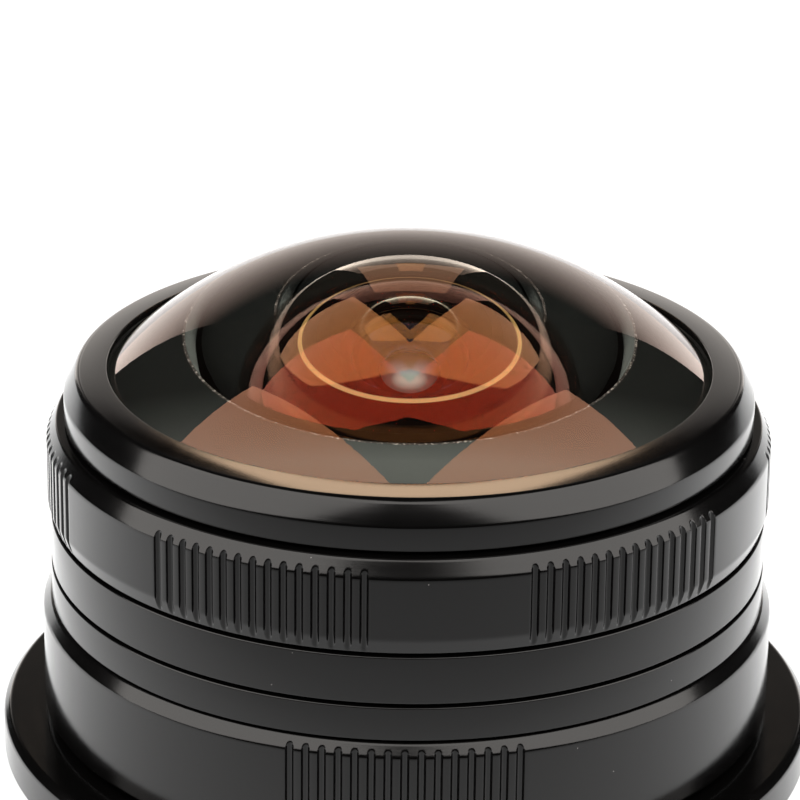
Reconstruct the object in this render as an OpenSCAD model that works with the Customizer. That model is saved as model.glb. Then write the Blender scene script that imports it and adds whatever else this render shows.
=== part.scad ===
// Compact circular fisheye lens for a mirrorless camera.
// Millimetres. The origin is the centre of the mount's flange face, +Z runs to the front glass.

/* [Main barrel] */
// Outer diameter of the fixed barrel that the rings turn on
barrel_d = 41; // [38:0.5:46]
// Wall of the fixed barrel
barrel_wall = 1.5; // [1.2:0.1:2.2]
// Radial clearance of pieces that turn or slide in each other
run = 0.05; // [0.02:0.01:0.1]
// Radial clearance of pieces that are fixed in each other
fit = 0.02; // [0.01:0.01:0.04]

/* [Front bezel] */
// Gap between the grip ring and the bezel at infinity focus
bezel_gap = 0.22; // [0.15:0.01:0.6]
// Wall of the bezel outside its thread
bezel_wall = 1.15; // [0.9:0.05:2]
// Height of the bezel's upright side, which also takes a push-on cap
bezel_side_h = 1.5; // [0.8:0.1:2.2]
// Inward run of the bezel's chamfer
bezel_chamfer_w = 0.79; // [0.3:0.01:1.1]
// Thickness of the lip over the glass
lip_t = 0.48; // [0.3:0.02:1]
// Cover of the lip over the edge of the glass
lip_over = 0.45; // [0.3:0.05:0.8]
// Break on the bezel's upper outer edge
bezel_edge = 0.12; // [0.05:0.01:0.2]
// Outward fall of the bezel's face
bezel_fall = 0.22; // [0:0.02:0.3]

/* [Grip ring] */
// Wall of the ribbed grip ring
grip_wall = 1.65; // [1.5:0.05:2.4]
// Height of the grip ring
grip_h = 5.77; // [5:0.01:9]
// Inward run of the upper chamfer
grip_top_w = 0.61; // [0.3:0.01:0.75]
// Height of the upper chamfer
grip_top_h = 1.03; // [0.4:0.01:1.5]
// Inward run of the lower chamfer
grip_foot_w = 0.28; // [0.1:0.01:0.5]
// Height of the lower chamfer
grip_foot_h = 0.92; // [0.3:0.01:1.4]
// Groups of flutes round the ring
flute_groups = 6; // [3:1:8]
// Flutes in one group
flutes = 15; // [5:1:17]
// Angle from flute to flute
flute_pitch = 2.46; // [2:0.02:2.6]
// Width of one flute, which is also twice its depth
flute_w = 0.52; // [0.3:0.02:0.7]
// Angle of the first group from the +X axis
flute_turn = 6.5; // [0:0.5:60]

/* [Plain rings] */
// Gap between the grip ring and the distance ring
grip_gap = 0.22; // [0.15:0.01:0.5]
// Wall of the distance ring with the neck that carries it
scale_wall = 1.45; // [1.2:0.05:2.2]
// Wall of the grip ring's neck inside the distance ring
neck_wall = 0.55; // [0.4:0.05:0.8]
// Height of the distance ring
scale_h = 2.98; // [2.4:0.02:5]
// Gap between the distance ring and the index ring
scale_gap = 0.2; // [0.1:0.01:0.5]
// Wall of the fixed index ring
index_wall = 1.55; // [1.2:0.05:2.2]
// Height of the index ring
index_h = 2.13; // [1.6:0.01:4]
// Break on the edges of the plain rings
ring_edge = 0.12; // [0.05:0.01:0.25]

/* [Aperture ring] */
// Play over the aperture ring and round the pieces that turn or slide under it
thrust_gap = 0.1; // [0.08:0.01:0.3]
// Wall of the aperture ring
aperture_wall = 2.05; // [1.6:0.05:3]
// Height of the aperture ring
aperture_h = 7.43; // [6.9:0.01:11]
// Inward run of its upper chamfer
aperture_top_w = 0.5; // [0.2:0.05:0.9]
// Height of its upper chamfer
aperture_top_h = 0.74; // [0.3:0.02:1]
// Inward run and height of its lower chamfer
aperture_foot = 0.4; // [0.1:0.05:0.6]
// Groups of flutes round the aperture ring
aperture_groups = 3; // [2:1:6]
// Turn of the aperture ring from open to closed
aperture_turn = 38; // [20:1:40]

/* [Base and mount] */
// Step of the base skirt outside the aperture ring
base_step = 2.6; // [1.5:0.1:4]
// Height of the base above the mount plate
base_h = 1.9; // [1.7:0.1:3]
// Gap between the base and the aperture ring
base_gap = 0.2; // [0.1:0.01:0.5]
// Break on the base's upper edge
base_edge = 0.4; // [0.1:0.05:0.8]
// Drop of the skirt past the top of the mount plate
skirt_drop = 0.7; // [0.3:0.1:1]
// Thickness of the mount plate in front of the flange face
plate_t = 1.2; // [1.05:0.05:2]
// Outer diameter of the mount plate
plate_d = 46.4; // [45.6:0.2:47.4]
// Outer diameter of the bayonet spigot
spigot_d = 36.8; // [36:0.2:37.6]
// Wall of the spigot
spigot_wall = 1.4; // [1:0.1:2]
// Length of the spigot behind the flange face
spigot_l = 3.4; // [2.6:0.1:3.8]
// Height of the bayonet lugs outside the spigot
lug_w = 1.3; // [0.8:0.1:1.6]
// Thickness of the lugs
lug_t = 1.2; // [0.8:0.1:1.5]
// Angle that one lug covers
lug_angle = 50; // [30:1:70]
// Diameter of the circle that the mount screws lie on
screw_circle_d = 42.9; // [42.6:0.1:43.1]
// Diameter of a mount screw's shank
screw_d = 1.4; // [1:0.1:1.6]
// Opening of the rear baffle
baffle_d = 11; // [9:0.5:14]
// Thickness of the rear baffle
baffle_t = 0.8; // [0.5:0.1:1]

/* [Front glass] */
// Height of the glass seat above the bezel's lower edge
seat_rise = 1.3; // [1:0.05:2]
// Radius of the dome
dome_r = 25.91; // [23:0.01:29]
// Thickness of the front glass at its edge
glass_edge_t = 0.8; // [0.5:0.05:1.4]
// Thickness of the front glass in the middle
glass_mid_t = 1.8; // [1.2:0.1:2.6]
// Diameter of the hollow behind the front glass
hollow_d = 23.12; // [22.6:0.02:25]
// Width of the rim round the seat of the front glass
rim_w = 0.95; // [0.7:0.05:1.5]

/* [Inner glass] */
// Depth of the cell's web below the seat of the front glass
web_depth = 4.65; // [4.2:0.05:5.2]
// Thickness of the web
web_t = 1.6; // [1.2:0.1:2.4]
// Height of the second glass's seat above the web
second_rise = 2.46; // [2:0.02:2.7]
// Diameter of the second glass's dome
second_d = 22.4; // [21.6:0.1:22.4]
// Edge height of the second glass
second_edge_t = 2.6; // [2.2:0.05:2.6]
// Width of the flange that the second glass is held by
second_flange_w = 0.7; // [0.5:0.05:0.9]
// Height of that flange
second_flange_t = 1.5; // [1.2:0.1:1.6]
// Front radius of the second glass
second_front_r = 16.5; // [15.5:0.5:24]
// Diameter of the hollow behind the second glass
second_hollow_d = 11.9; // [11:0.1:12.4]
// Depth of the hollow behind the second glass
second_hollow_h = 4.6; // [3.6:0.1:5]
// Diameter of the third and fourth glass
third_d = 12; // [11.2:0.2:12.6]
// Edge thickness of the third glass
third_t = 2.2; // [1.9:0.1:2.6]
// Step down from the second glass's seat to the third glass
third_drop = 1.6; // [1.4:0.1:2]
// Radius of the third glass's front hollow
third_front_r = 60; // [40:5:120]
// Radius of the third glass's rear hollow
third_rear_r = 12; // [10:0.5:20]
// Edge thickness of the fourth glass
fourth_t = 1.6; // [1.2:0.1:1.8]
// Front radius of the fourth glass
fourth_front_r = 10; // [9.6:0.2:14]
// Rear radius of the fourth glass
fourth_rear_r = 16; // [14:0.5:24]
// Diameter of the rear glasses
rear_d = 10; // [9.4:0.1:10.4]
// Front radius of the doublet
doublet_front_r = 9; // [8.6:0.2:14]
// Radius of the doublet's cemented face
doublet_inner_r = 8.5; // [8:0.1:12]
// Edge thickness of the doublet's front glass
crown_t = 0.8; // [0.5:0.1:1.1]
// Edge thickness of the doublet's rear glass
flint_t = 2.2; // [2:0.1:2.5]
// Edge thickness of the rear glass
rear_t = 1.2; // [0.9:0.1:1.6]
// Front radius of the rear glass
rear_front_r = 25; // [18:1:60]
// Rear radius of the rear glass
rear_rear_r = 11; // [9:0.5:18]
// Width of the ledges and retaining rings that hold the inner glass
ledge_w = 0.7; // [0.5:0.05:0.9]
// Height of the retaining rings
retainer_h = 0.6; // [0.4:0.05:0.8]

/* [Focus drive] */
// Turn of the grip ring from infinity to its nearest distance
focus_turn = 100; // [60:5:110]
// Travel of the glass over that turn
focus_travel = 0.21; // [0.1:0.01:0.4]
// Height of the cam followers above the grip ring's lower edge
follower_rise = 2.2; // [1.8:0.1:2.6]
// Diameter of a follower's roller
follower_d = 1.6; // [1.2:0.1:1.8]
// Depth of the cam grooves in the grip ring
groove_depth = 0.7; // [0.5:0.05:0.9]

/* [Iris] */
// Height of the drive ring's middle above the aperture ring's lower edge
drive_rise = 6; // [5.6:0.05:6.2]
// Radius of the circle of blade pivots
pivot_r = 7.2; // [7:0.1:7.6]
// Inner radius of a blade
blade_in_r = 3.7; // [3.5:0.05:4]
// Outer radius of a blade
blade_out_r = 6.3; // [5.6:0.1:6.3]
// Thickness of a blade
blade_t = 0.1; // [0.06:0.01:0.12]
// Height from one blade to the next
blade_pitch = 0.2; // [0.18:0.01:0.24]
// Angle that one blade's arc covers
blade_span = 135; // [120:1:150]
// Turn of a blade for each degree of the drive ring
blade_ratio = 0.6667; // [0.5:0.0001:0.7]
// Distance from a blade's pivot to its drive pin
crank = 1.9; // [1.6:0.1:2.2]
// Radius of a blade's pivot pin
pivot_pin_r = 0.4; // [0.3:0.02:0.45]
// Radius of a blade's drive pin
drive_pin_r = 0.3; // [0.24:0.02:0.34]
// Thickness of the drive ring
drive_t = 0.8; // [0.6:0.05:1]
// Radius of the drive ring
drive_r = 9.4; // [9.2:0.1:10]
// Diameter of the pin from the aperture ring to the drive ring
fork_pin_d = 1; // [0.8:0.1:1.2]

/* [Hidden] */
$fn = 72;
blade_count = 7;
black = [0.05, 0.05, 0.05];
soot = [0.02, 0.02, 0.02];
steel = [0.62, 0.62, 0.63];
glass = [0.75, 0.62, 0.55, 0.4];
over = 1; // how far a cutting shape runs past what it cuts

// Sag of a sphere of radius big at radius r from its axis
function sag(big, r) = big - sqrt(big * big - r * r);
// Radius of the sphere that sinks by h over a rim of radius r
function cap_radius(r, h) = (r * r + h * h) / (2 * h);

// Radii from the barrel outwards and inwards
barrel_r = barrel_d / 2;
bore_r = barrel_r - barrel_wall;
ring_bore = barrel_r + run;
cell_r = bore_r - run;
glass_r = cell_r - run;
grip_r = ring_bore + grip_wall;
scale_r = ring_bore + scale_wall;
neck_r = ring_bore + neck_wall;
index_r = barrel_r + index_wall;
aperture_r = ring_bore + aperture_wall;
base_r = aperture_r + base_step;
rim_r = glass_r + run + rim_w;
bezel_bore = rim_r + run;
bezel_r = bezel_bore + bezel_wall;
lip_r = glass_r - lip_over;
plate_r = plate_d / 2;
spigot_r = spigot_d / 2;
spigot_bore = spigot_r - spigot_wall;

// Heights from the flange face to the front
z_base = plate_t;
z_base_top = z_base + base_h;
z_aperture = z_base_top + base_gap;
z_aperture_top = z_aperture + aperture_h;
z_index = z_aperture_top + thrust_gap;
z_index_top = z_index + index_h;
z_scale = z_index_top + scale_gap;
z_scale_top = z_scale + scale_h;
z_grip = z_scale_top + grip_gap;
z_grip_top = z_grip + grip_h;
z_bezel = z_grip_top + bezel_gap;

// Retainer of the grip ring, sunk in its upper face
ring_retainer_w = 0.6;
ring_retainer_sink = 0.18;
ring_retainer_r = barrel_r + ring_retainer_w;
z_barrel_top = z_grip_top - ring_retainer_sink;
z_ring_retainer = z_barrel_top - retainer_h;

// Front glass
z_seat = z_bezel + seat_rise;
z_glass_edge = z_seat + glass_edge_t;
dome_z = z_glass_edge - sqrt(dome_r * dome_r - glass_r * glass_r);
z_dome_top = dome_z + dome_r;
hollow_r = hollow_d / 2;
hollow_h = z_dome_top - glass_mid_t - z_seat;
hollow_ball_r = cap_radius(hollow_r, hollow_h);
seal_gap = 0.1;
z_lip = dome_z + sqrt(dome_r * dome_r - lip_r * lip_r) + seal_gap;
z_bezel_top = z_lip + lip_t;
rim_sink = 0.25;
z_rim = z_glass_edge - rim_sink;
rim_h = 1.7;
seal_step = 0.45;
seal_out_r = rim_r - seal_step;
seal_cover = 0.28;

// Second glass and the cell that holds it
z_web = z_seat - web_depth;
z_second = z_web + second_rise;
second_r = second_d / 2;
z_second_edge = z_second + second_edge_t;
z_second_top = z_second_edge + sag(second_front_r, second_r);
second_hollow_r = second_hollow_d / 2;
second_hollow_ball_r = cap_radius(second_hollow_r, second_hollow_h);
second_flange_r = second_r + second_flange_w;
z_flange_top = z_second + second_flange_t;
second_bore = second_flange_r + fit;
cell_neck_w = 0.66;
cell_neck_r = second_bore + cell_neck_w;
second_retainer_w = 0.68;
second_retainer_r = cell_neck_r + fit + second_retainer_w;
second_retainer_t = 0.5;
z_second_retainer_top = z_flange_top + fit + second_retainer_t;

// Drive ring, blades and iris housing, set by the aperture ring
z_drive = z_aperture + drive_rise;
z_drive_low = z_drive - drive_t / 2;
z_drive_top = z_drive + drive_t / 2;
drive_hole_r = 5.2;
blade_clear = 0.3;
z_blades = z_drive_top + blade_clear;
z_iris_plate = z_blades + (blade_count - 1) * blade_pitch + 2 * blade_t;
iris_plate_t = 0.8;
z_iris_plate_top = z_iris_plate + iris_plate_t;
stop_cover = 0.2;
iris_stop_r = blade_in_r - stop_cover;
housing_bore = drive_r + run;
housing_wall = 0.75;
housing_r = housing_bore + housing_wall;
housing_floor_t = 0.8;
z_housing_floor = z_drive_low - thrust_gap;
z_housing = z_housing_floor - housing_floor_t;
blade_turn = aperture_turn * blade_ratio;
pin_floor = 0.1;

// Third and fourth glass, between the second glass and the iris
third_r = third_d / 2;
third_bore = third_r + fit;
z_third_top = z_second - third_drop;
z_third = z_third_top - third_t;
third_ledge_r = third_r - ledge_w;
fourth_gap = 0.13;
z_fourth = z_iris_plate_top + fourth_gap + sag(fourth_rear_r, third_r);
z_fourth_top = z_fourth + fourth_t;
z_fourth_ledge = z_fourth - sag(fourth_rear_r, third_r) + sag(fourth_rear_r, third_ledge_r) - fit;
z_front_spacer = z_fourth_top + sag(fourth_front_r, third_r) - sag(fourth_front_r, third_ledge_r) + fit;
shoulder_t = 1;
shoulder_gap = 0.2;
cell_screw_d = 1;
cell_screw_head_r = 0.9 * cell_screw_d;
cell_screw_r = cell_neck_r + shoulder_gap + cell_screw_head_r;
shoulder_r = cell_screw_r + cell_screw_head_r + shoulder_gap;

// Rear glass, hung from the iris housing
rear_r = rear_d / 2;
rear_bore = rear_r + fit;
rear_ledge_r = rear_r - ledge_w;
crown_gap = 0.1;
z_crown_top = z_housing - crown_gap;
z_crown = z_crown_top - crown_t;
cement = 0.01;
z_flint_top = z_crown - cement;
z_flint = z_flint_top - flint_t;
rear_cell_l = 7;
z_rear_end = z_housing - rear_cell_l;
rear_end_gap = 0.15;
z_rear_ledge = z_crown_top + sag(doublet_front_r, rear_r) - sag(doublet_front_r, rear_ledge_r) + fit;
z_rear_retainer = z_rear_end + rear_end_gap;
z_rear = z_rear_retainer + retainer_h + sag(rear_rear_r, rear_r) - sag(rear_rear_r, rear_ledge_r) + fit;
z_rear_top = z_rear + rear_t;
z_rear_spacer = z_rear_top + sag(rear_front_r, rear_r) - sag(rear_front_r, rear_ledge_r) + fit;
rear_wall = 1.58;
rear_cell_r = rear_bore + rear_wall;
rear_neck_r = 6.2;
rear_flange_r = 7.4;
rear_flange_t = 0.8;

// Focus drive
follower_r = follower_d / 2;
z_follower = z_grip + follower_rise;
follower_angles = [90, 210, 330];
follower_shank_r = 0.5;
follower_shank_l = 2;
follower_gap = 0.1;
follower_end_r = ring_bore + groove_depth - follower_gap;
groove_mid_r = ring_bore + groove_depth / 2;
groove_spare = 6;
groove_tilt = asin(focus_travel / 2 / (groove_mid_r * sin(focus_turn / 2)));
fork_room = 1.7;
z_front_cell_end = z_drive + fork_room;
front_cell_wall = 1.35;

// Pin and fork between the aperture ring and the iris
fork_pin_r = fork_pin_d / 2;
fork_rest = 90 - aperture_turn / 2;
fork_reach = 17.2;
fork_pin_in = 15.2;
fork_notch_in = 14.6;
fork_half_w = 1.5;
pin_cover = 0.7;
fork_pin_out = aperture_r - pin_cover;
slot_spare = 2.4;

// Base, mount plate and detent
foot_w = 1.9;
foot_t = 0.8;
foot_r = barrel_r + foot_w;
skirt_gap = 0.2;
skirt_bore = plate_r + skirt_gap;
screw_r = screw_d / 2;
screw_head_r = 2 * screw_r;
screw_circle_r = screw_circle_d / 2;
screw_angles = [45, 135, 225, 315];
screw_sink = 0.05;
screw_l = 2.7;
lug_angles = [30, 150, 270];
lock_slot_r = 1.1;
lock_slot_angle = 180;
lock_floor = 0.3;
baffle_over = 0.8;
baffle_seat = spigot_bore + baffle_over;
z_baffle = -0.4;
dot_r = 0.75;
dot_t = 0.6;
dot_angle = 90;
ball_r = 0.45;
ball_show = 0.3;
ball_out = 1.15;
ball_circle_r = barrel_r + ball_out;
spring_t = 0.12;
spring_half_w = 0.5;
spring_angle = 12;
track_depth = 0.18;
track_half_w = 0.5;
detents = 6;
detent_depth = 0.1;

// A turned piece from its half section
module turned(points) {
    rotate_extrude() polygon(points);
}

// A plain ring with square edges
module ring(out_r, in_r, z0, z1) {
    turned([[in_r, z0], [out_r, z0], [out_r, z1], [in_r, z1]]);
}

// A part of a ring between two angles
module ring_part(out_r, in_r, z0, z1, from, to) {
    rotate([0, 0, from])
        rotate_extrude(angle = to - from)
            polygon([[in_r, z0], [out_r, z0], [out_r, z1], [in_r, z1]]);
}

// A round bar along a radius, from one radius to another
module radial_bar(r, from, to, z, angle) {
    rotate([0, 0, angle])
        translate([from, 0, z])
            rotate([0, 90, 0])
                cylinder(r = r, h = to - from);
}

// A round hole or pin along Z, placed by radius and angle
module upright(r, z0, z1, circle_r, angle) {
    rotate([0, 0, angle])
        translate([circle_r, 0, z0])
            cylinder(r = r, h = z1 - z0);
}

// Groups of upright round-bottomed flutes on a ring's side
module flute_cuts(side_r, z0, z1, groups, turn) {
    for (g = [0 : groups - 1])
        for (i = [0 : flutes - 1])
            upright(flute_w / 2, z0 - over, z1 + over, side_r,
                turn + g * 360 / groups + (i - (flutes - 1) / 2) * flute_pitch);
}

// A ball placed on the axis
module ball_at(z, r) {
    translate([0, 0, z]) sphere(r = r, $fn = 200);
}

// Mount, base and fixed barrel
module bayonet_mount() {
    color(steel) difference() {
        union() {
            turned([[spigot_bore, -spigot_l], [spigot_r, -spigot_l], [spigot_r, 0], [plate_r, 0],
                [plate_r, plate_t], [spigot_bore, plate_t]]);
            for (a = lug_angles)
                ring_part(spigot_r + lug_w, spigot_r - spigot_wall / 2, -spigot_l, lug_t - spigot_l,
                    a - lug_angle / 2, a + lug_angle / 2);
        }
        ring(baffle_seat + fit, 0, z_baffle, plate_t + over);
        for (a = screw_angles) {
            upright(screw_r + run, -over, plate_t + over, screw_circle_r, a);
            rotate([0, 0, a]) translate([screw_circle_r, 0, -screw_sink])
                cylinder(r1 = screw_head_r + 2 * screw_sink, r2 = screw_r + run,
                    h = screw_r + 2 * screw_sink);
        }
        upright(lock_slot_r, -over, plate_t - lock_floor, screw_circle_r, lock_slot_angle);
    }
}

module mount_screws() {
    drive_w = 0.24;
    drive_l = 1.5;
    drive_h = 0.35;
    color(steel) for (a = screw_angles)
        rotate([0, 0, a]) translate([screw_circle_r, 0, screw_sink]) difference() {
            union() {
                cylinder(r1 = screw_head_r, r2 = screw_r, h = screw_r);
                cylinder(r = screw_r, h = screw_l - screw_sink);
            }
            for (turn = [0, 90])
                rotate([0, 0, turn])
                    translate([-drive_l / 2, -drive_w / 2, -over])
                        cube([drive_l, drive_w, drive_h + over]);
        }
}

module mount_base() {
    color(black) difference() {
        turned([[barrel_r + fit, z_base + foot_t + fit], [barrel_r + fit, z_base_top],
            [base_r - base_edge, z_base_top], [base_r, z_base_top - base_edge],
            [base_r, z_base - skirt_drop + ring_edge], [base_r - ring_edge, z_base - skirt_drop],
            [skirt_bore, z_base - skirt_drop], [skirt_bore, z_base], [foot_r + fit, z_base],
            [foot_r + fit, z_base + foot_t + fit]]);
        for (a = screw_angles)
            upright(screw_r + fit, z_base - over, screw_l + fit, screw_circle_r, a);
        radial_bar(dot_r + fit, base_r - dot_t - fit, base_r + over, (z_base + z_base_top - base_edge) / 2,
            dot_angle);
        ring_part(ball_circle_r + spring_half_w + fit, ball_circle_r - spring_half_w - fit,
            z_base + foot_t, z_base + foot_t + spring_t + 2 * fit,
            -spring_angle - over, spring_angle + over);
        upright(ball_r + fit, z_base + foot_t, z_base_top + over, ball_circle_r, 0);
    }
}

module alignment_dot() {
    color([0.75, 0.08, 0.06])
        radial_bar(dot_r, base_r - dot_t, base_r - fit, (z_base + z_base_top - base_edge) / 2, dot_angle);
}

module main_barrel() {
    slot_half = slot_spare + asin((fork_pin_r + run) / bore_r);
    color(black) difference() {
        turned([[bore_r, z_base], [foot_r, z_base], [foot_r, z_base + foot_t], [barrel_r, z_base + foot_t],
            [barrel_r, z_barrel_top], [bore_r, z_barrel_top]]);
        for (a = screw_angles)
            upright(screw_r + run, z_base - over, z_base + foot_t + over, screw_circle_r, a);
        for (a = follower_angles)
            rotate([0, 0, a])
                translate([bore_r - over, -follower_r - run, z_follower - follower_r - thrust_gap])
                    cube([barrel_wall + 2 * over, follower_d + 2 * run,
                        follower_d + focus_travel + 2 * thrust_gap]);
        ring_part(barrel_r + over / 2, bore_r - over, z_drive - fork_pin_r - thrust_gap,
            z_drive + fork_pin_r + thrust_gap, fork_rest - slot_half,
            fork_rest + aperture_turn + slot_half);
    }
}

module index_ring() {
    color(black) turned([[barrel_r + fit, z_index], [index_r - ring_edge, z_index],
        [index_r, z_index + ring_edge], [index_r, z_index_top - ring_edge],
        [index_r - ring_edge, z_index_top], [barrel_r + fit, z_index_top]]);
}

module focus_retainer() {
    color(black) ring(ring_retainer_r, barrel_r + fit, z_ring_retainer, z_barrel_top);
}

module rear_baffle() {
    color(soot) turned([[baffle_d / 2, z_baffle], [baffle_seat, z_baffle],
        [baffle_seat, z_baffle + baffle_t], [baffle_d / 2 + baffle_t, z_baffle + baffle_t]]);
}

module click_ball() {
    color(steel) translate([ball_circle_r, 0, z_base_top + ball_show - ball_r])
        sphere(r = ball_r, $fn = 48);
}

module click_spring() {
    color(steel)
        ring_part(ball_circle_r + spring_half_w, ball_circle_r - spring_half_w, z_base + foot_t + fit,
            z_base + foot_t + fit + spring_t, -spring_angle, spring_angle);
}

// Focus ring and distance ring
module cam_groove(angle) {
    half = focus_turn / 2 + groove_spare;
    rotate([0, 0, angle - focus_turn / 2])
        translate([0, 0, z_follower + focus_travel / 2])
            rotate([-groove_tilt, 0, 0])
                ring_part(ring_bore + groove_depth, barrel_r - over, -follower_r - run, follower_r + run,
                    -half, half);
}

module focus_ring() {
    counterbore = ring_retainer_r + thrust_gap;
    color(black) difference() {
        turned([[ring_bore, z_scale], [neck_r, z_scale], [neck_r, z_grip], [grip_r - grip_foot_w, z_grip],
            [grip_r, z_grip + grip_foot_h], [grip_r, z_grip_top - grip_top_h],
            [grip_r - grip_top_w, z_grip_top], [counterbore, z_grip_top],
            [counterbore, z_ring_retainer - run], [ring_bore, z_ring_retainer - run]]);
        flute_cuts(grip_r, z_grip, z_grip_top, flute_groups, flute_turn);
        for (a = follower_angles)
            cam_groove(a);
    }
}

module distance_ring() {
    color(black) turned([[neck_r + fit, z_scale], [scale_r - ring_edge, z_scale],
        [scale_r, z_scale + ring_edge], [scale_r, z_scale_top - ring_edge],
        [scale_r - ring_edge, z_scale_top], [neck_r + fit, z_scale_top]]);
}

// Bezel, front glass and the sliding cell
module front_bezel() {
    side_top = z_bezel + bezel_side_h;
    face_r = bezel_r - bezel_chamfer_w;
    z_face_edge = z_bezel_top - bezel_fall;
    color(black) turned([[bezel_bore, z_bezel], [bezel_r - ring_edge, z_bezel],
        [bezel_r, z_bezel + ring_edge], [bezel_r, side_top],
        [face_r + bezel_edge / 2, z_face_edge - bezel_edge],
        [face_r - bezel_edge / 2, z_face_edge], [lip_r, z_bezel_top], [lip_r, z_lip],
        [seal_out_r + fit, z_lip], [seal_out_r + fit, z_rim + run], [bezel_bore, z_rim + run]]);
}

module front_seal() {
    in_r = glass_r - seal_cover;
    z_in = dome_z + sqrt(dome_r * dome_r - in_r * in_r) + run;
    color(soot) turned([[in_r, z_in], [glass_r + run, z_glass_edge + run], [seal_out_r, z_glass_edge + run],
        [seal_out_r, z_lip - fit], [in_r, z_lip - fit]]);
}

module front_element() {
    color(glass) difference() {
        intersection() {
            ball_at(dome_z, dome_r);
            ring(glass_r, 0, z_seat, z_dome_top + over);
        }
        ball_at(z_seat + hollow_h - hollow_ball_r, hollow_ball_r);
    }
}

module front_cell() {
    rim_low = z_rim - rim_h;
    shaft_in = cell_r - front_cell_wall;
    well_r = shoulder_r + shoulder_gap;
    color(soot) difference() {
        turned([[shaft_in, z_front_cell_end], [cell_r, z_front_cell_end], [cell_r, rim_low],
            [rim_r, rim_low], [rim_r, z_rim], [glass_r + run, z_rim],
            [glass_r + run, z_seat], [well_r, z_seat],
            [well_r, z_web], [housing_r + run, z_web], [housing_r + run, z_web - web_t],
            [shaft_in, z_web - web_t]]);
        for (a = follower_angles) {
            radial_bar(follower_shank_r + fit, cell_r - follower_shank_l - fit, cell_r + over,
                z_follower, a);
            upright(cell_screw_d / 2 + fit, z_web - web_t - over, z_web + over, cell_screw_r, a);
        }
    }
}

module focus_followers() {
    color(steel) for (a = follower_angles) {
        radial_bar(follower_shank_r, cell_r - follower_shank_l, cell_r + 2 * run, z_follower, a);
        radial_bar(follower_r, cell_r + run, follower_end_r, z_follower, a);
    }
}

module inner_cell() {
    seat_w = 3;
    funnel_w = 1;
    color(soot) difference() {
        turned([[iris_stop_r, z_iris_plate], [housing_r, z_iris_plate], [housing_r, z_web],
            [shoulder_r, z_web], [shoulder_r, z_web + shoulder_t], [cell_neck_r, z_web + shoulder_t],
            [cell_neck_r, z_flange_top], [second_bore, z_flange_top], [second_bore, z_second],
            [second_hollow_r + seat_w, z_second], [third_bore + funnel_w, z_third_top + retainer_h],
            [third_bore, z_third_top + retainer_h], [third_bore, z_fourth_ledge],
            [third_ledge_r, z_fourth_ledge], [third_ledge_r, z_iris_plate_top],
            [iris_stop_r, z_iris_plate_top]]);
        for (a = follower_angles)
            upright(cell_screw_d / 2 + fit, z_web - over, z_web + shoulder_t + over, cell_screw_r, a);
        for (i = [0 : blade_count - 1])
            upright(pivot_pin_r + run, z_iris_plate - over, z_iris_plate_top - pin_floor, pivot_r,
                i * 360 / blade_count);
    }
}

module cell_screws() {
    head_h = 0.5;
    drive_w = 0.22;
    color(steel) for (a = follower_angles)
        rotate([0, 0, a]) translate([cell_screw_r, 0, z_web + shoulder_t + fit]) difference() {
            union() {
                cylinder(r = cell_screw_head_r, h = head_h);
                translate([0, 0, -shoulder_t - web_t])
                    cylinder(r = cell_screw_d / 2, h = shoulder_t + web_t);
            }
            translate([-cell_screw_head_r - over, -drive_w / 2, head_h / 2])
                cube([2 * (cell_screw_head_r + over), drive_w, head_h]);
        }
}

// Second, third and fourth glass
module second_element() {
    color(glass) difference() {
        intersection() {
            ball_at(z_second_top - second_front_r, second_front_r);
            union() {
                ring(second_r, 0, z_second, z_second_top + over);
                ring(second_flange_r, 0, z_second, z_flange_top);
            }
        }
        ball_at(z_second + second_hollow_h - second_hollow_ball_r, second_hollow_ball_r);
    }
}

module second_retainer() {
    skirt = 1.06;
    color(soot) turned([[cell_neck_r + fit, z_flange_top - skirt], [second_retainer_r, z_flange_top - skirt],
        [second_retainer_r, z_second_retainer_top], [second_r + run, z_second_retainer_top],
        [second_r + run, z_flange_top + fit], [cell_neck_r + fit, z_flange_top + fit]]);
}

module third_element() {
    rim = third_r - ledge_w / 2;
    color(glass) difference() {
        ring(third_r, 0, z_third, z_third_top);
        ball_at(z_third_top - sag(third_front_r, rim) + third_front_r, third_front_r);
        ball_at(z_third + sag(third_rear_r, third_ledge_r) - third_rear_r, third_rear_r);
    }
}

module third_retainer() {
    color(soot) ring(third_r, third_ledge_r, z_third_top + fit, z_third_top + retainer_h);
}

module front_spacer() {
    color(soot) ring(third_r, third_ledge_r, z_front_spacer, z_third - fit);
}

module fourth_element() {
    color(glass) intersection() {
        ball_at(z_fourth_top + sag(fourth_front_r, third_r) - fourth_front_r, fourth_front_r);
        ball_at(z_fourth - sag(fourth_rear_r, third_r) + fourth_rear_r, fourth_rear_r);
        ring(third_r, 0, z_fourth - third_r, z_fourth_top + third_r);
    }
}

// Iris
module iris_housing() {
    sweep = asin(fork_half_w / housing_bore) + slot_spare;
    color(soot) difference() {
        turned([[rear_neck_r + fit, z_housing], [housing_r, z_housing], [housing_r, z_iris_plate],
            [housing_bore, z_iris_plate], [housing_bore, z_housing_floor],
            [rear_neck_r + fit, z_housing_floor]]);
        ring_part(housing_r + over, housing_bore - over / 2, z_housing_floor, z_drive_top + thrust_gap,
            fork_rest - sweep, fork_rest + aperture_turn + sweep);
    }
}

// Place of a blade's drive pin in the drive ring, from open (s = 0) to closed (s = 1)
function cam_point(s) =
    let (swing = blade_turn * s, back = -aperture_turn * s,
        x = pivot_r + crank * sin(swing), y = crank * cos(swing))
    [x * cos(back) - y * sin(back), x * sin(back) + y * cos(back)];
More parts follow.
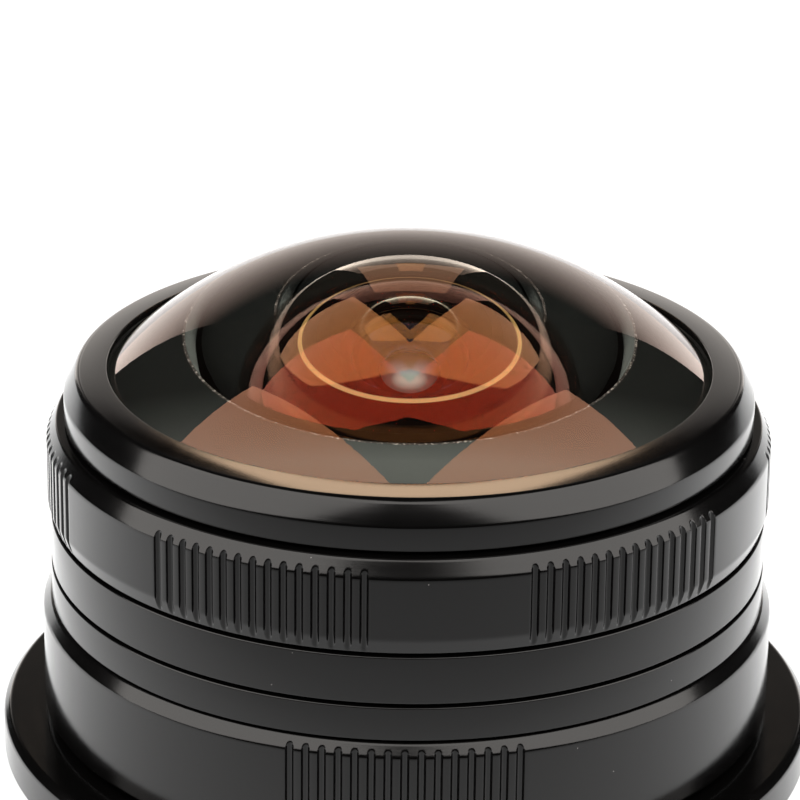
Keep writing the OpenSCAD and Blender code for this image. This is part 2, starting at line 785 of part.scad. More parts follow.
// Point beside the cam's path at the distance side
function cam_side(s, side) =
    let (step = 0.01, p = cam_point(s), d = cam_point(s + step) - cam_point(s - step), l = norm(d))
    [p[0] - d[1] / l * side, p[1] + d[0] / l * side];

// Slot that a blade's drive pin runs in, long enough at both ends for the pin to clear
module cam_slot() {
    half = drive_pin_r + run;
    spare = half / norm(cam_point(1) - cam_point(0));
    steps = 14;
    stops = [for (i = [0 : steps]) -spare + (1 + 2 * spare) * i / steps];
    translate([0, 0, z_drive_low - over]) linear_extrude(drive_t + 2 * over)
        polygon(concat([for (s = stops) cam_side(s, half)],
            [for (i = [steps : -1 : 0]) cam_side(stops[i], -half)]));
}

module iris_drive_ring() {
    notch_half = fork_pin_r + run;
    color(soot) difference() {
        union() {
            ring(drive_r, drive_hole_r, z_drive_low, z_drive_top);
            rotate([0, 0, fork_rest])
                translate([drive_r - over, -fork_half_w, z_drive_low])
                    cube([fork_reach - drive_r + over, 2 * fork_half_w, drive_t]);
        }
        for (i = [0 : blade_count - 1])
            rotate([0, 0, i * 360 / blade_count]) cam_slot();
        rotate([0, 0, fork_rest])
            translate([fork_notch_in, -notch_half, z_drive_low - over])
                cube([fork_reach, 2 * notch_half, drive_t + 2 * over]);
    }
}

module blade_outline() {
    ear_r = 0.95;
    crank_r = 0.65;
    mid_r = (blade_in_r + blade_out_r) / 2;
    far = 2 * blade_out_r;
    intersection() {
        difference() {
            circle(r = blade_out_r);
            circle(r = blade_in_r);
        }
        polygon(concat([[0, 0]], [for (i = [0 : 4])
            [far * cos(-blade_span * i / 4), far * sin(-blade_span * i / 4)]]));
    }
    rotate([0, 0, -blade_span]) translate([mid_r, 0]) circle(r = blade_out_r - mid_r);
    translate([pivot_r, 0]) circle(r = ear_r);
    translate([pivot_r, crank]) circle(r = crank_r);
    translate([pivot_r - crank_r, 0]) square([2 * crank_r, crank]);
    translate([mid_r, -ear_r]) square([pivot_r - mid_r, 2 * ear_r]);
}

module iris_blade(i) {
    z_low = z_blades + (blade_count - 1 - i) * blade_pitch;
    z_pin_low = z_drive_low + pin_floor;
    z_pin_top = z_iris_plate_top - 2 * pin_floor;
    color(soot) rotate([0, 0, i * 360 / blade_count]) {
        translate([0, 0, z_low]) linear_extrude(blade_t) blade_outline();
        translate([pivot_r, 0, z_low]) cylinder(r = pivot_pin_r, h = z_pin_top - z_low);
        translate([pivot_r, crank, z_pin_low]) cylinder(r = drive_pin_r, h = z_low + blade_t - z_pin_low);
    }
}

// Rear glass
module rear_cell() {
    color(soot) turned([[rear_bore, z_rear_end], [rear_cell_r, z_rear_end],
        [rear_cell_r, z_housing - rear_flange_t], [rear_flange_r, z_housing - rear_flange_t],
        [rear_flange_r, z_housing], [rear_neck_r, z_housing],
        [rear_neck_r, z_housing_floor - thrust_gap], [rear_ledge_r, z_housing_floor - thrust_gap],
        [rear_ledge_r, z_rear_ledge], [rear_bore, z_rear_ledge]]);
}

module doublet_crown() {
    color(glass) intersection() {
        ball_at(z_crown_top + sag(doublet_front_r, rear_r) - doublet_front_r, doublet_front_r);
        ball_at(z_crown - sag(doublet_inner_r, rear_r) + doublet_inner_r, doublet_inner_r);
        ring(rear_r, 0, z_crown - rear_r, z_crown_top + rear_r);
    }
}

module doublet_flint() {
    color(glass) difference() {
        ring(rear_r, 0, z_flint, z_flint_top);
        ball_at(z_flint_top - sag(doublet_inner_r, rear_r) + doublet_inner_r, doublet_inner_r);
    }
}

module rear_spacer() {
    color(soot) ring(rear_r, rear_ledge_r, z_rear_spacer, z_flint - fit);
}

module rear_element() {
    color(glass) intersection() {
        ball_at(z_rear_top + sag(rear_front_r, rear_r) - rear_front_r, rear_front_r);
        ball_at(z_rear - sag(rear_rear_r, rear_r) + rear_rear_r, rear_rear_r);
        ring(rear_r, 0, z_rear - rear_r, z_rear_top + rear_r);
    }
}

module rear_retainer() {
    color(soot) ring(rear_r, rear_ledge_r, z_rear_retainer, z_rear_retainer + retainer_h);
}

// Aperture ring and its pin
module aperture_ring() {
    color(black) difference() {
        turned([[ring_bore, z_aperture], [aperture_r - aperture_foot, z_aperture],
            [aperture_r, z_aperture + aperture_foot], [aperture_r, z_aperture_top - aperture_top_h],
            [aperture_r - aperture_top_w, z_aperture_top], [ring_bore, z_aperture_top]]);
        flute_cuts(aperture_r, z_aperture, z_aperture_top, aperture_groups, 270);
        radial_bar(fork_pin_r + fit, barrel_r - over, fork_pin_out + fit, z_drive, fork_rest);
        ring(ball_circle_r + track_half_w, ball_circle_r - track_half_w, z_aperture - over,
            z_aperture + track_depth);
        for (i = [0 : detents])
            rotate([0, 0, i * aperture_turn / detents])
                translate([ball_circle_r, 0, z_base_top + ball_show - ball_r + detent_depth])
                    sphere(r = ball_r, $fn = 48);
    }
}

module aperture_drive_pin() {
    color(steel) radial_bar(fork_pin_r, fork_pin_in, fork_pin_out, z_drive, fork_rest);
}

bayonet_mount();
mount_screws();
mount_base();
main_barrel();
index_ring();
focus_retainer();
rear_baffle();
alignment_dot();
click_ball();
click_spring();
focus_ring();
distance_ring();
front_bezel();
front_seal();
front_element();
front_cell();
focus_followers();
inner_cell();
cell_screws();
second_element();
second_retainer();
third_element();
third_retainer();
front_spacer();
fourth_element();
iris_housing();
rear_cell();
doublet_crown();
doublet_flint();
rear_spacer();
rear_element();
rear_retainer();
aperture_ring();
aperture_drive_pin();
iris_drive_ring();
iris_blade(0);  // iris_blade_1
iris_blade(1);  // iris_blade_2
iris_blade(2);  // iris_blade_3
iris_blade(3);  // iris_blade_4
iris_blade(4);  // iris_blade_5
iris_blade(5);  // iris_blade_6
iris_blade(6);  // iris_blade_7
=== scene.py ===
import functools
import math

import bmesh
import bpy
from bpy.props import FloatProperty, FloatVectorProperty, IntProperty, PointerProperty
from mathutils import Matrix, Vector


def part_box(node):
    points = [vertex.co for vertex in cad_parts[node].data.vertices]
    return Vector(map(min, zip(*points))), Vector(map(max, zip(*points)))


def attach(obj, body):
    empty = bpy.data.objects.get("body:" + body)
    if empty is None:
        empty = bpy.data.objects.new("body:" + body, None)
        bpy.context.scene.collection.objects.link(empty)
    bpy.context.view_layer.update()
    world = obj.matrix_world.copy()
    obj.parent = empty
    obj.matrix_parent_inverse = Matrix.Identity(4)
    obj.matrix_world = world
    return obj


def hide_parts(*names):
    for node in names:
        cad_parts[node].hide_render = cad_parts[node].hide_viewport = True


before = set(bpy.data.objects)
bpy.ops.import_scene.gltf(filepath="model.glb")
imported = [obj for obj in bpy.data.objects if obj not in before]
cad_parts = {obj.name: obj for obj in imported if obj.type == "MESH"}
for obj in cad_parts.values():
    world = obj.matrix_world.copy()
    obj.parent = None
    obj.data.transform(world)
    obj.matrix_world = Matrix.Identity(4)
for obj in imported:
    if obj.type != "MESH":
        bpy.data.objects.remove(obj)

bl_info = {
    "name": "Fisheye lens",
    "version": (1, 0, 0),
    "blender": (4, 5, 0),
    "location": "3D View > Sidebar > Fisheye",
    "description": "Builds the rings, glass, mount and studio of a compact fisheye lens",
    "category": "Add Mesh",
}

SEGMENTS = 288              # steps round a turned piece
SHARP = math.radians(32)    # edges that turn more than this stay sharp
WELD = 1e-7                 # points nearer than this are one point
FLAT = 1e-6                 # faces nearer than this to a level lie on it
NEAR = 1e-5                 # faces nearer than this to a surface lie on it
CUT_STEP = 0.00009          # longest step on a chamfer that flutes run out on
SEAT_STEP = 0.00006         # longest step on the side that holds the dot's seat
PAINT = 0.000012            # thickness of the paint on a ring
LINE = 0.00012              # width of a painted line
FAR_SIDE = math.pi / 2      # angle of the side away from the camera
WHITE = (1.0, 1.0, 1.0)


def length(name, description, default):
    """A size in metres"""
    return FloatProperty(name=name, description=description, default=default, min=0.0,
                         precision=5, unit="LENGTH")


def angle(name, description, degrees):
    """An angle, given in degrees"""
    return FloatProperty(name=name, description=description, default=math.radians(degrees),
                         subtype="ANGLE")


def colour(name, description, default):
    """A colour"""
    return FloatVectorProperty(name=name, description=description, default=default, size=3,
                               min=0.0, max=1.0, subtype="COLOR")


def whole(name, description, default):
    """A whole number"""
    return IntProperty(name=name, description=description, default=default, min=1)


def amount(name, description, default):
    """A plain number"""
    return FloatProperty(name=name, description=description, default=default, min=0.0)


class RingSettings(bpy.types.PropertyGroup):
    """Sizes and colours of the turned rings"""
    edge: length("Edge", "Round on the turned edges", 0.00007)
    bezel_side: length("Bezel side", "Height of the bezel's upright side", 0.0015)
    bezel_chamfer: length("Bezel chamfer", "Inward run of the bezel's chamfer", 0.00079)
    bezel_round: length("Bezel round", "Round between the bezel's face and chamfer", 0.00028)
    bezel_fall: length("Bezel fall", "Outward fall of the bezel's face", 0.00022)
    bezel_bore: length("Bezel bore", "Radius of the bezel's thread", 0.01995)
    lip_radius: length("Lip radius", "Inner radius of the lip over the glass", 0.01845)
    lip_height: length("Lip height", "Thickness of the lip over the glass", 0.00048)
    bore: length("Ring bore", "Inner radius of the turning rings", 0.02055)
    neck: length("Neck", "Outer radius of the grip ring's neck", 0.0211)
    grip_height: length("Grip height", "Height of the grip ring above its neck", 0.00577)
    grip_top_width: length("Grip top width", "Inward run of the upper chamfer", 0.00061)
    grip_top_height: length("Grip top height", "Height of the upper chamfer", 0.00103)
    grip_foot_width: length("Grip foot width", "Inward run of the lower chamfer", 0.00028)
    grip_foot_height: length("Grip foot height", "Height of the lower chamfer", 0.00092)
    grip_groups: whole("Grip groups", "Groups of flutes on the grip ring", 6)
    grip_turn: angle("Grip turn", "Angle of the grip ring's first group", 6.5)
    flutes: whole("Flutes", "Flutes in a group", 15)
    flute_step: angle("Flute step", "Angle from flute to flute", 2.46)
    flute_width: length("Flute width", "Width of a flute, twice its depth", 0.00052)
    flute_round: length("Flute round", "Round on the edges of a flute", 0.00005)
    aperture_groups: whole("Aperture groups", "Groups of flutes on the aperture ring", 3)
    aperture_turn: angle("Aperture turn", "Angle of the aperture ring's first group", 270)
    aperture_top_width: length("Aperture top width", "Inward run of the upper chamfer", 0.0005)
    aperture_top_height: length("Aperture top height", "Height of the upper chamfer", 0.00074)
    aperture_foot: length("Aperture foot", "Run of the lower chamfer", 0.0004)
    base_edge: length("Base edge", "Chamfer on the base's upper edge", 0.0004)
    skirt_bore: length("Skirt bore", "Inner radius of the skirt", 0.0234)
    dot_radius: length("Dot radius", "Radius of the red mounting dot", 0.00075)
    dot_sink: length("Dot sink", "Depth of the seat of the dot", 0.0003)
    anodising: colour("Anodising", "Colour of the black anodising", (0.0016, 0.0015, 0.0015))
    sheen: amount("Sheen", "Refractive index of the anodised skin", 1.47)
    polish: amount("Polish", "Refractive index of the bezel's polished face", 6.0)
    satin: amount("Satin", "Roughness of the anodised skin", 0.15)
    enamel: colour("Enamel", "Colour of the mounting dot", (0.55, 0.012, 0.010))
    paint: colour("Paint", "Colour of the filled figures", (0.78, 0.78, 0.75))
    figure_height: length("Figure height", "Height of the scale figures", 0.0013)


class GlassSettings(bpy.types.PropertyGroup):
    """Sizes, indices and coatings of the glass"""
    dome_radius: length("Dome radius", "Front radius of the front glass", 0.02591)
    dome_middle: length("Dome middle", "Middle thickness of the front glass", 0.0018)
    dome_hollow: length("Dome hollow", "Radius of the hollow's rim", 0.01156)
    seat_film: length("Seat film", "Thin gap between a glass and its seat", 0.000004)
    rim_ground: length("Rim ground", "Width of the ground bevel on a hollow's rim", 0.00014)
    second_front: length("Second front", "Front radius of the second glass", 0.0165)
    second_radius: length("Second radius", "Radius of the second glass's dome", 0.0112)
    second_flange: length("Second flange", "Height of the flange it is held by", 0.0015)
    second_hollow: length("Second hollow", "Radius of the second glass's hollow", 0.00595)
    second_depth: length("Second depth", "Depth of the second glass's hollow", 0.0046)
    second_ground: length("Second ground", "Width of the ground bevel on its hollow", 0.00016)
    third_front: length("Third front", "Radius of the third glass's front hollow", 0.06)
    third_rear: length("Third rear", "Radius of the third glass's rear hollow", 0.012)
    fourth_front: length("Fourth front", "Front radius of the fourth glass", 0.01)
    fourth_rear: length("Fourth rear", "Rear radius of the fourth glass", 0.016)
    ledge: length("Ledge", "Width of the flat seats at the edges of the small glasses", 0.0007)
    doublet_front: length("Doublet front", "Front radius of the doublet", 0.009)
    doublet_inner: length("Doublet inner", "Radius of the cemented face", 0.0085)
    rear_front: length("Rear front", "Front radius of the rear glass", 0.025)
    rear_rear: length("Rear rear", "Rear radius of the rear glass", 0.011)
    dome_index: amount("Dome index", "Refractive index of the front glass", 1.77)
    inner_index: amount("Inner index", "Refractive index of the inner glasses", 1.7)
    dome_coat: colour("Dome coat", "Tint of the front glass's reflection", (0.75, 0.26, 0.09))
    dome_rear: colour("Dome rear", "Tint of the reflection in the front glass's hollow", (1.0, 0.42, 0.15))
    dome_tone: colour("Dome tone", "Tone of the front glass itself", (1.0, 0.83, 0.70))
    second_coat: colour("Second coat", "Tint of the second glass's front reflection", (1.0, 0.11, 0.06))
    hollow_coat: colour("Hollow coat", "Tint of the reflection in the second glass's hollow", (1.0, 0.42, 0.1))
    inner_coat: colour("Inner coat", "Reflection of the inner coatings", (0.30, 0.22, 0.42))
    # The ink colour is the ink's lit look, painted in on its near side as painted light; the ink's own dark
    # colour is a small share of it
    ink: colour("Ink", "Colour of the ink on the flat ring of the front glass", (0.104, 0.124, 0.125))
    edge_ink: colour("Edge ink", "Colour of the ink on the edges", (0.002, 0.002, 0.002))
    ground: colour("Ground glass", "Colour of the ground bevels", (0.80, 0.52, 0.22))


class MountSettings(bpy.types.PropertyGroup):
    """Sizes and colours of the mount and the works"""
    plate: colour("Plate", "Colour of the plated mount", (0.42, 0.42, 0.41))
    steel: colour("Steel", "Colour of the screws and pins", (0.50, 0.49, 0.47))
    blacking: colour("Blacking", "Colour of the blackened inner metal", (0.002, 0.002, 0.002))
    blade: colour("Blade", "Colour of the iris blades", (0.035, 0.036, 0.040))
    rubber: colour("Rubber", "Colour of the sealing ring", (0.014, 0.014, 0.014))


class StudioSettings(bpy.types.PropertyGroup):
    """Camera, lamps and floor"""
    camera: FloatVectorProperty(name="Camera", description="Place of the camera", size=3,
                                default=(0.0, -0.24167, 0.12317), subtype="TRANSLATION")
    pitch: angle("Pitch", "Tilt of the camera below the horizon", 22.52)
    yaw: angle("Yaw", "Turn of the camera", 0.133)
    roll: angle("Roll", "Lean of the camera", 0.64)
    focal: amount("Focal length", "Focal length of the camera in millimetres", 192.23)
    panel_distance: length("Panel distance", "Distance of the soft panels", 0.5)
    panel_light: amount("Panel light", "Radiance of the soft panels", 3.0)
    panel_colour: colour("Panel colour", "Colour of the soft panels", (1.0, 0.96, 0.92))
    back_light: amount("Back light", "Radiance of the lamp over the backdrop", 1.0)
    back_colour: colour("Back colour", "Colour of the lamp over the backdrop", (1.0, 0.70, 0.46))
    fill: amount("Fill", "Radiance of the room on matt surfaces", 0.3)
    gloom: amount("Gloom", "Radiance of the dark room in reflections", 0.01)
    floor: colour("Floor", "Colour of the floor", (0.83, 0.86, 0.89))
    floor_gap: length("Floor gap", "Gap between the floor and the part", 0.00005)
    # Painted light: a glowing spot on the floor under the lens, seen through the glass in the pupil
    pearl: length("Pearl", "Radius of the light on the floor that shows in the pupil", 0.0005)
    pearl_place: length("Pearl place", "Distance of that light behind the axis", 0.0042)
    backdrop_distance: length("Backdrop distance", "Distance of the backdrop", 0.6)
    backdrop_width: length("Backdrop width", "Half width of the backdrop", 0.36)
    backdrop_height: length("Backdrop height", "Height of the backdrop", 0.47)
    backdrop_colour: colour("Backdrop colour", "Colour of the backdrop's light", (1.0, 0.93, 0.87))


# Node helpers

def add_node(tree, kind, values=None, **options):
    """A node with its options and input values set"""
    node = tree.nodes.new(kind)
    for name, value in options.items():
        setattr(node, name, value)
    for name, value in (values or {}).items():
        node.inputs[name].default_value = value
    return node


def link(source, socket):
    """Joins an output to an input"""
    socket.id_data.links.new(source, socket)


def maths(operation, *terms):
    """A maths node whose terms are numbers or sockets"""
    tree = next(term.id_data for term in terms if not isinstance(term, (int, float)))
    node = add_node(tree, "ShaderNodeMath", operation=operation)
    for socket, term in zip(node.inputs, terms):
        if isinstance(term, (int, float)):
            socket.default_value = term
        else:
            link(term, socket)
    return node.outputs[0]


def span(x, y):
    """Length of the line from the middle to a place"""
    return maths("SQRT", maths("MULTIPLY_ADD", x, x, maths("MULTIPLY", y, y)))


def smooth_step(value, low, high):
    """0 below low, 1 above high and an even ramp between"""
    node = add_node(value.id_data, "ShaderNodeMapRange", {"From Min": low, "From Max": high})
    link(value, node.inputs["Value"])
    return node.outputs["Result"]


def blend(factor, first, second):
    """A mix of two colours"""
    node = add_node(factor.id_data, "ShaderNodeMix", data_type="RGBA")
    link(factor, node.inputs["Factor"])
    node.inputs["A"].default_value = (*first, 1.0)
    node.inputs["B"].default_value = (*second, 1.0)
    return node.outputs["Result"]


def spot(tree):
    """Place of a spot on its piece along X, Y and Z"""
    parts = add_node(tree, "ShaderNodeSeparateXYZ")
    link(add_node(tree, "ShaderNodeTexCoord").outputs["Object"], parts.inputs[0])
    return parts.outputs


def new_group(name, inputs, outputs):
    """An empty node group with number sockets"""
    tree = bpy.data.node_groups.new(name, "ShaderNodeTree")
    for socket, default in inputs.items():
        tree.interface.new_socket(socket, in_out="INPUT", socket_type="NodeSocketFloat").default_value = default
    for socket in outputs:
        tree.interface.new_socket(socket, in_out="OUTPUT", socket_type="NodeSocketFloat")
    return tree, tree.nodes.new("NodeGroupInput"), tree.nodes.new("NodeGroupOutput")


def texture(tree, kind, scale, **values):
    """A texture that lies on its piece, with its scale from a socket"""
    node = add_node(tree, kind, values)
    link(add_node(tree, "ShaderNodeTexCoord").outputs["Object"], node.inputs["Vector"])
    link(scale, node.inputs["Scale"])
    return node.outputs


@functools.cache
def turning_marks():
    """Lathe lines round the axis: a height for the bump and a slow streak for the sheen"""
    tree, given, result = new_group("Turning marks", {"Lines": 9000.0}, ("Height", "Streak"))
    wander = 1.6            # change of the lines along a turn
    x, y, z = spot(tree)
    radius = span(x, y)
    turn = maths("MULTIPLY", maths("ARCTAN2", y, x), wander)
    across = maths("MULTIPLY", maths("ADD", radius, z), given.outputs["Lines"])
    along = maths("MULTIPLY", maths("SUBTRACT", radius, z), given.outputs["Lines"])
    for socket, slow in (("Height", 1.0), ("Streak", 0.14)):
        lines = add_node(tree, "ShaderNodeCombineXYZ")
        link(maths("MULTIPLY", across, slow), lines.inputs["X"])
        link(maths("MULTIPLY", along, slow), lines.inputs["Y"])
        link(turn, lines.inputs["Z"])
        noise = add_node(tree, "ShaderNodeTexNoise", {"Scale": 1.0, "Detail": 2.0, "Roughness": 0.55})
        link(lines.outputs[0], noise.inputs["Vector"])
        link(noise.outputs[0], result.inputs[socket])
    return tree


@functools.cache
def fine_grain():
    """Blasted grain: a height and a slower cloud"""
    tree, given, result = new_group("Fine grain", {"Scale": 11000.0}, ("Height", "Cloud"))
    for socket, slow, detail in (("Height", 1.0, 3.0), ("Cloud", 0.045, 4.0)):
        scale = maths("MULTIPLY", given.outputs["Scale"], slow)
        noise = texture(tree, "ShaderNodeTexNoise", scale, Detail=detail, Roughness=0.6)
        link(noise[0], result.inputs[socket])
    return tree


@functools.cache
def dust():
    """Sparse specks of dust"""
    tree, given, result = new_group("Dust", {"Scale": 900.0, "Size": 0.035, "Share": 0.2}, ("Mask",))
    cells = texture(tree, "ShaderNodeTexVoronoi", given.outputs["Scale"])
    near = maths("LESS_THAN", cells["Distance"], given.outputs["Size"])
    channels = add_node(tree, "ShaderNodeSeparateColor")
    link(cells["Color"], channels.inputs[0])
    chosen = maths("LESS_THAN", channels.outputs[0], given.outputs["Share"])
    link(maths("MULTIPLY", near, chosen), result.inputs["Mask"])
    return tree


@functools.cache
def sparkle():
    """Chips of a ground glass edge: a mask for their relief and for painted glints"""
    tree, given, result = new_group("Sparkle", {"Scale": 4500.0, "Share": 0.56}, ("Mask",))
    steep = 9.0             # rise of a glint from its edge
    noise = texture(tree, "ShaderNodeTexNoise", given.outputs["Scale"], Detail=3.0, Roughness=0.7)
    lifted = maths("MAXIMUM", maths("SUBTRACT", noise[0], given.outputs["Share"]), 0.0)
    link(maths("MULTIPLY", lifted, steep), result.inputs["Mask"])
    return tree


def use_group(tree, group, **values):
    """A shared group put in a material"""
    node = add_node(tree, "ShaderNodeGroup", node_tree=group)
    for name, value in values.items():
        node.inputs[name].default_value = value
    return node.outputs


def new_finish(name, base, roughness, **values):
    """A material with one Principled surface"""
    material = bpy.data.materials.new(name)
    material.use_nodes = True
    tree = material.node_tree
    skin = tree.nodes["Principled BSDF"]
    skin.inputs["Base Color"].default_value = (*base, 1.0)
    skin.inputs["Roughness"].default_value = roughness
    for socket, value in values.items():
        skin.inputs[socket.replace("_", " ")].default_value = value
    return material, tree, skin


def emboss(skin, height, depth):
    """A bump of the given depth in metres on a surface"""
    bump = add_node(skin.id_data, "ShaderNodeBump", {"Strength": 1.0, "Distance": depth})
    link(height, bump.inputs["Height"])
    link(bump.outputs["Normal"], skin.inputs["Normal"])


def settings(group):
    """One group of the scene's settings"""
    return getattr(bpy.context.scene, "fisheye_" + group)


def shade(base, share):
    """A darker or lighter colour"""
    return tuple(share * part for part in base)


def anodising(name, index, roughness):
    """Black anodised metal with lathe lines, blasted grain and a little dust"""
    base = settings("rings").anodising
    speck = (0.16, 0.155, 0.15)
    lines, blast = 0.55, 0.6    # parts of the lathe lines and of the grain in the height
    spread = 0.06               # part of both in the roughness
    material, tree, skin = new_finish(name, base, roughness, IOR=index)
    marks = use_group(tree, turning_marks())
    grain = use_group(tree, fine_grain())
    specks = use_group(tree, dust())
    height = maths("MULTIPLY_ADD", marks["Height"], lines, maths("MULTIPLY", grain["Height"], blast))
    emboss(skin, height, 0.0000014)
    rough = maths("ADD", marks["Streak"], grain["Cloud"])
    link(maths("MULTIPLY_ADD", rough, spread, roughness - spread), skin.inputs["Roughness"])
    link(blend(specks["Mask"], base, speck), skin.inputs["Base Color"])
    return material


@functools.cache
def satin_anodising():
    """Anodising of the rings"""
    rings = settings("rings")
    return anodising("Satin anodising", rings.sheen, rings.satin)


@functools.cache
def polished_anodising():
    """Smoother anodising of the bezel's face"""
    rings = settings("rings")
    return anodising("Polished anodising", rings.polish, 0.8 * rings.satin)


def grained(name, base, scale, depth, roughness, spread=0.0, dark=1.0, light=1.0, lines=0.0, blast=0.0,
            **values):
    """A finish whose grain clouds its colour between two shares of it. Lathe lines, if any, take
    over the roughness and the height, with the grain's height as a blast on them."""
    material, tree, skin = new_finish(name, base, roughness, **values)
    grain = use_group(tree, fine_grain(), Scale=scale)
    height, streak = grain["Height"], grain["Cloud"]
    if lines:
        marks = use_group(tree, turning_marks(), Lines=lines)
        height, streak = maths("MULTIPLY_ADD", height, blast, marks["Height"]), marks["Streak"]
    emboss(skin, height, depth)
    if spread:
        link(maths("MULTIPLY_ADD", streak, spread, roughness), skin.inputs["Roughness"])
    cloud = blend(grain["Cloud"], shade(base, dark), shade(base, light))
    link(cloud, skin.inputs["Base Color"])
    return material


# Grained finishes: the group and name of the colour, and the values of grained
FINISHES = {
    "Blackened inner metal": ("mount", "blacking", dict(
        scale=7000.0, depth=0.000008, roughness=0.36, spread=0.3, light=2.2, lines=5200.0, blast=0.5,
        Specular_IOR_Level=0.05)),
    "Plated mount": ("mount", "plate", dict(
        scale=9000.0, depth=0.000002, roughness=0.14, spread=0.14, dark=0.86, lines=7000.0, Metallic=1.0)),
    "Bright steel": ("mount", "steel", dict(
        scale=16000.0, depth=0.0000012, roughness=0.16, spread=0.2, dark=0.8, Metallic=1.0)),
    "Blued iris steel": ("mount", "blade", dict(
        scale=14000.0, depth=0.0000015, roughness=0.32, spread=0.25, light=1.6, Metallic=0.6)),
    "Seal rubber": ("mount", "rubber", dict(scale=9000.0, depth=0.000006, roughness=0.7, light=2.0)),
    "Red enamel": ("rings", "enamel", dict(
        scale=5000.0, depth=0.000002, roughness=0.2, dark=0.8, Coat_Weight=0.6)),
    "Filled paint": ("rings", "paint", dict(scale=9000.0, depth=0.000003, roughness=0.55, dark=0.88)),
    "Edge ink": ("glass", "edge_ink", dict(
        scale=5000.0, depth=0.000008, roughness=0.6, light=2.0, Specular_IOR_Level=0.0)),
    "Ground glass": ("glass", "ground", dict(scale=9000.0, depth=0.000004, roughness=0.35, dark=0.5)),
}


@functools.cache
def finish(name):
    """A grained finish by its name"""
    group, base, values = FINISHES[name]
    return grained(name, getattr(settings(group), base), **values)


def mix_shaders(factor, first, second):
    """A mix of two surfaces"""
    mix = add_node(factor.id_data, "ShaderNodeMixShader")
    for socket, term in zip(mix.inputs, (factor, first, second)):
        link(term, socket)
    return mix.outputs[0]


def glass_finish(name, index, coat, tone=WHITE):
    """Coated glass that lets the lamps through to what lies behind it"""
    material, tree, skin = new_finish(name, tone, 0.0, IOR=index, Transmission_Weight=1.0,
                                      Specular_Tint=(*coat, 1.0))
    shadow = add_node(tree, "ShaderNodeLightPath").outputs["Is Shadow Ray"]
    clear = add_node(tree, "ShaderNodeBsdfTransparent", {"Color": (0.96, 0.96, 0.95, 1.0)})
    surface = mix_shaders(shadow, skin.outputs[0], clear.outputs[0])
    link(surface, tree.nodes["Material Output"].inputs["Surface"])
    return material


@functools.cache
def cement():
    """Clear cement between two glasses of one index"""
    return new_finish("Cement", WHITE, 0.0, Alpha=0.0)[0]


def rim_ink_painted_sheen(glass):
    """Dark ink behind glass with painted light: lighter on its near side towards the angle of total reflection,
    where lamps would light it
    """
    dark = 0.12             # share of the ink's colour that shows away from that angle
    film = 1.5              # refractive index of the ink
    material, tree, skin = new_finish("Rim ink", glass.ink, 0.6, Specular_IOR_Level=0.0)
    grain = use_group(tree, fine_grain(), Scale=2600.0)
    emboss(skin, grain["Height"], 0.00001)
    slant = add_node(tree, "ShaderNodeFresnel", {"IOR": glass.dome_index / film})
    # Painted light: the ink is lightened on its near side (low Y) and where rays meet it slantwise, in place of
    # lamp light falling on it
    shine = maths("MULTIPLY", smooth_step(slant.outputs[0], 0.04, 0.16),
                  smooth_step(spot(tree)["Y"], 0.006, 0.001))
    shine = maths("MULTIPLY", shine, maths("MULTIPLY_ADD", grain["Cloud"], 0.3, 0.85))
    link(blend(shine, shade(glass.ink, dark), glass.ink), skin.inputs["Base Color"])
    return material


def chipped_rim_painted_glints():
    """Dark rim of the hollow with bright chips along it: the chips are real relief, their brightness is a painted
    glint
    """
    dark, bright = (0.012, 0.011, 0.010), (0.7, 0.69, 0.66)
    material, tree, skin = new_finish("Chipped rim", dark, 0.4)
    glints = use_group(tree, sparkle(), Scale=5200.0, Share=0.54)
    emboss(skin, glints["Mask"], 0.00002)
    # Painted highlight: the chips are painted near white as glints
    link(blend(glints["Mask"], dark, bright), skin.inputs["Base Color"])
    return material


# Mesh helpers

def rounded(corners, steps=5):
    """A closed outline of radii and heights; a corner is its radius, height and round"""
    outline = []
    for number, (radius, height, edge) in enumerate(corners):
        here = Vector((radius, height))
        before = Vector(corners[number - 1][:2]) - here
        after = Vector(corners[(number + 1) % len(corners)][:2]) - here
        if not edge:
            outline.append(here)
            continue
        start = here + before.normalized() * min(edge, 0.45 * before.length)
        end = here + after.normalized() * min(edge, 0.45 * after.length)
        for step in range(steps + 1):
            part = step / steps
            outline.append(start * (1 - part) ** 2 + here * 2 * part * (1 - part) + end * part ** 2)
    return outline


def divided(outline, longest, fine):
    """The outline with long sides divided: all along where fine(start, end) says so, else near their ends"""
    result = []
    for number, point in enumerate(outline):
        after = outline[(number + 1) % len(outline)]
        count = max(1, math.ceil((after - point).length / longest))
        steps = range(count) if fine(point, after) or count < 4 else (0, 1, count - 1)
        result += [point.lerp(after, step / count) for step in steps]
    return result


def sloping(start, end):
    """Tells a chamfer"""
    return abs(start.x - end.x) > WELD and abs(start.y - end.y) > WELD


def upright(start, end):
    """Tells an upright side"""
    return abs(start.x - end.x) < WELD


def sphere_arc(apex, radius, rim, steps=40):
    """Points from the axis out to the rim on a sphere; a negative radius curves upwards from its apex"""
    return [Vector((rim * step / steps,
                    apex - radius + math.copysign(math.sqrt(radius ** 2 - (rim * step / steps) ** 2), radius)))
            for step in range(steps + 1)]


def sag(radius, rim):
    """Depth of a sphere's cap"""
    return radius - math.sqrt(radius ** 2 - rim ** 2)


def place(mesh_maker, name, body, nodes=()):
    """Puts a finished mesh in the scene, on its body and in place of its CAD nodes"""
    mesh = bpy.data.meshes.new(name)
    bmesh.ops.recalc_face_normals(mesh_maker, faces=mesh_maker.faces)
    mesh_maker.to_mesh(mesh)
    mesh_maker.free()
    mesh.shade_smooth()
    mesh.set_sharp_from_angle(angle=SHARP)
    piece = bpy.data.objects.new(name, mesh)
    bpy.context.scene.collection.objects.link(piece)
    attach(piece, body)
    if nodes:
        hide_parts(*nodes)
    return piece


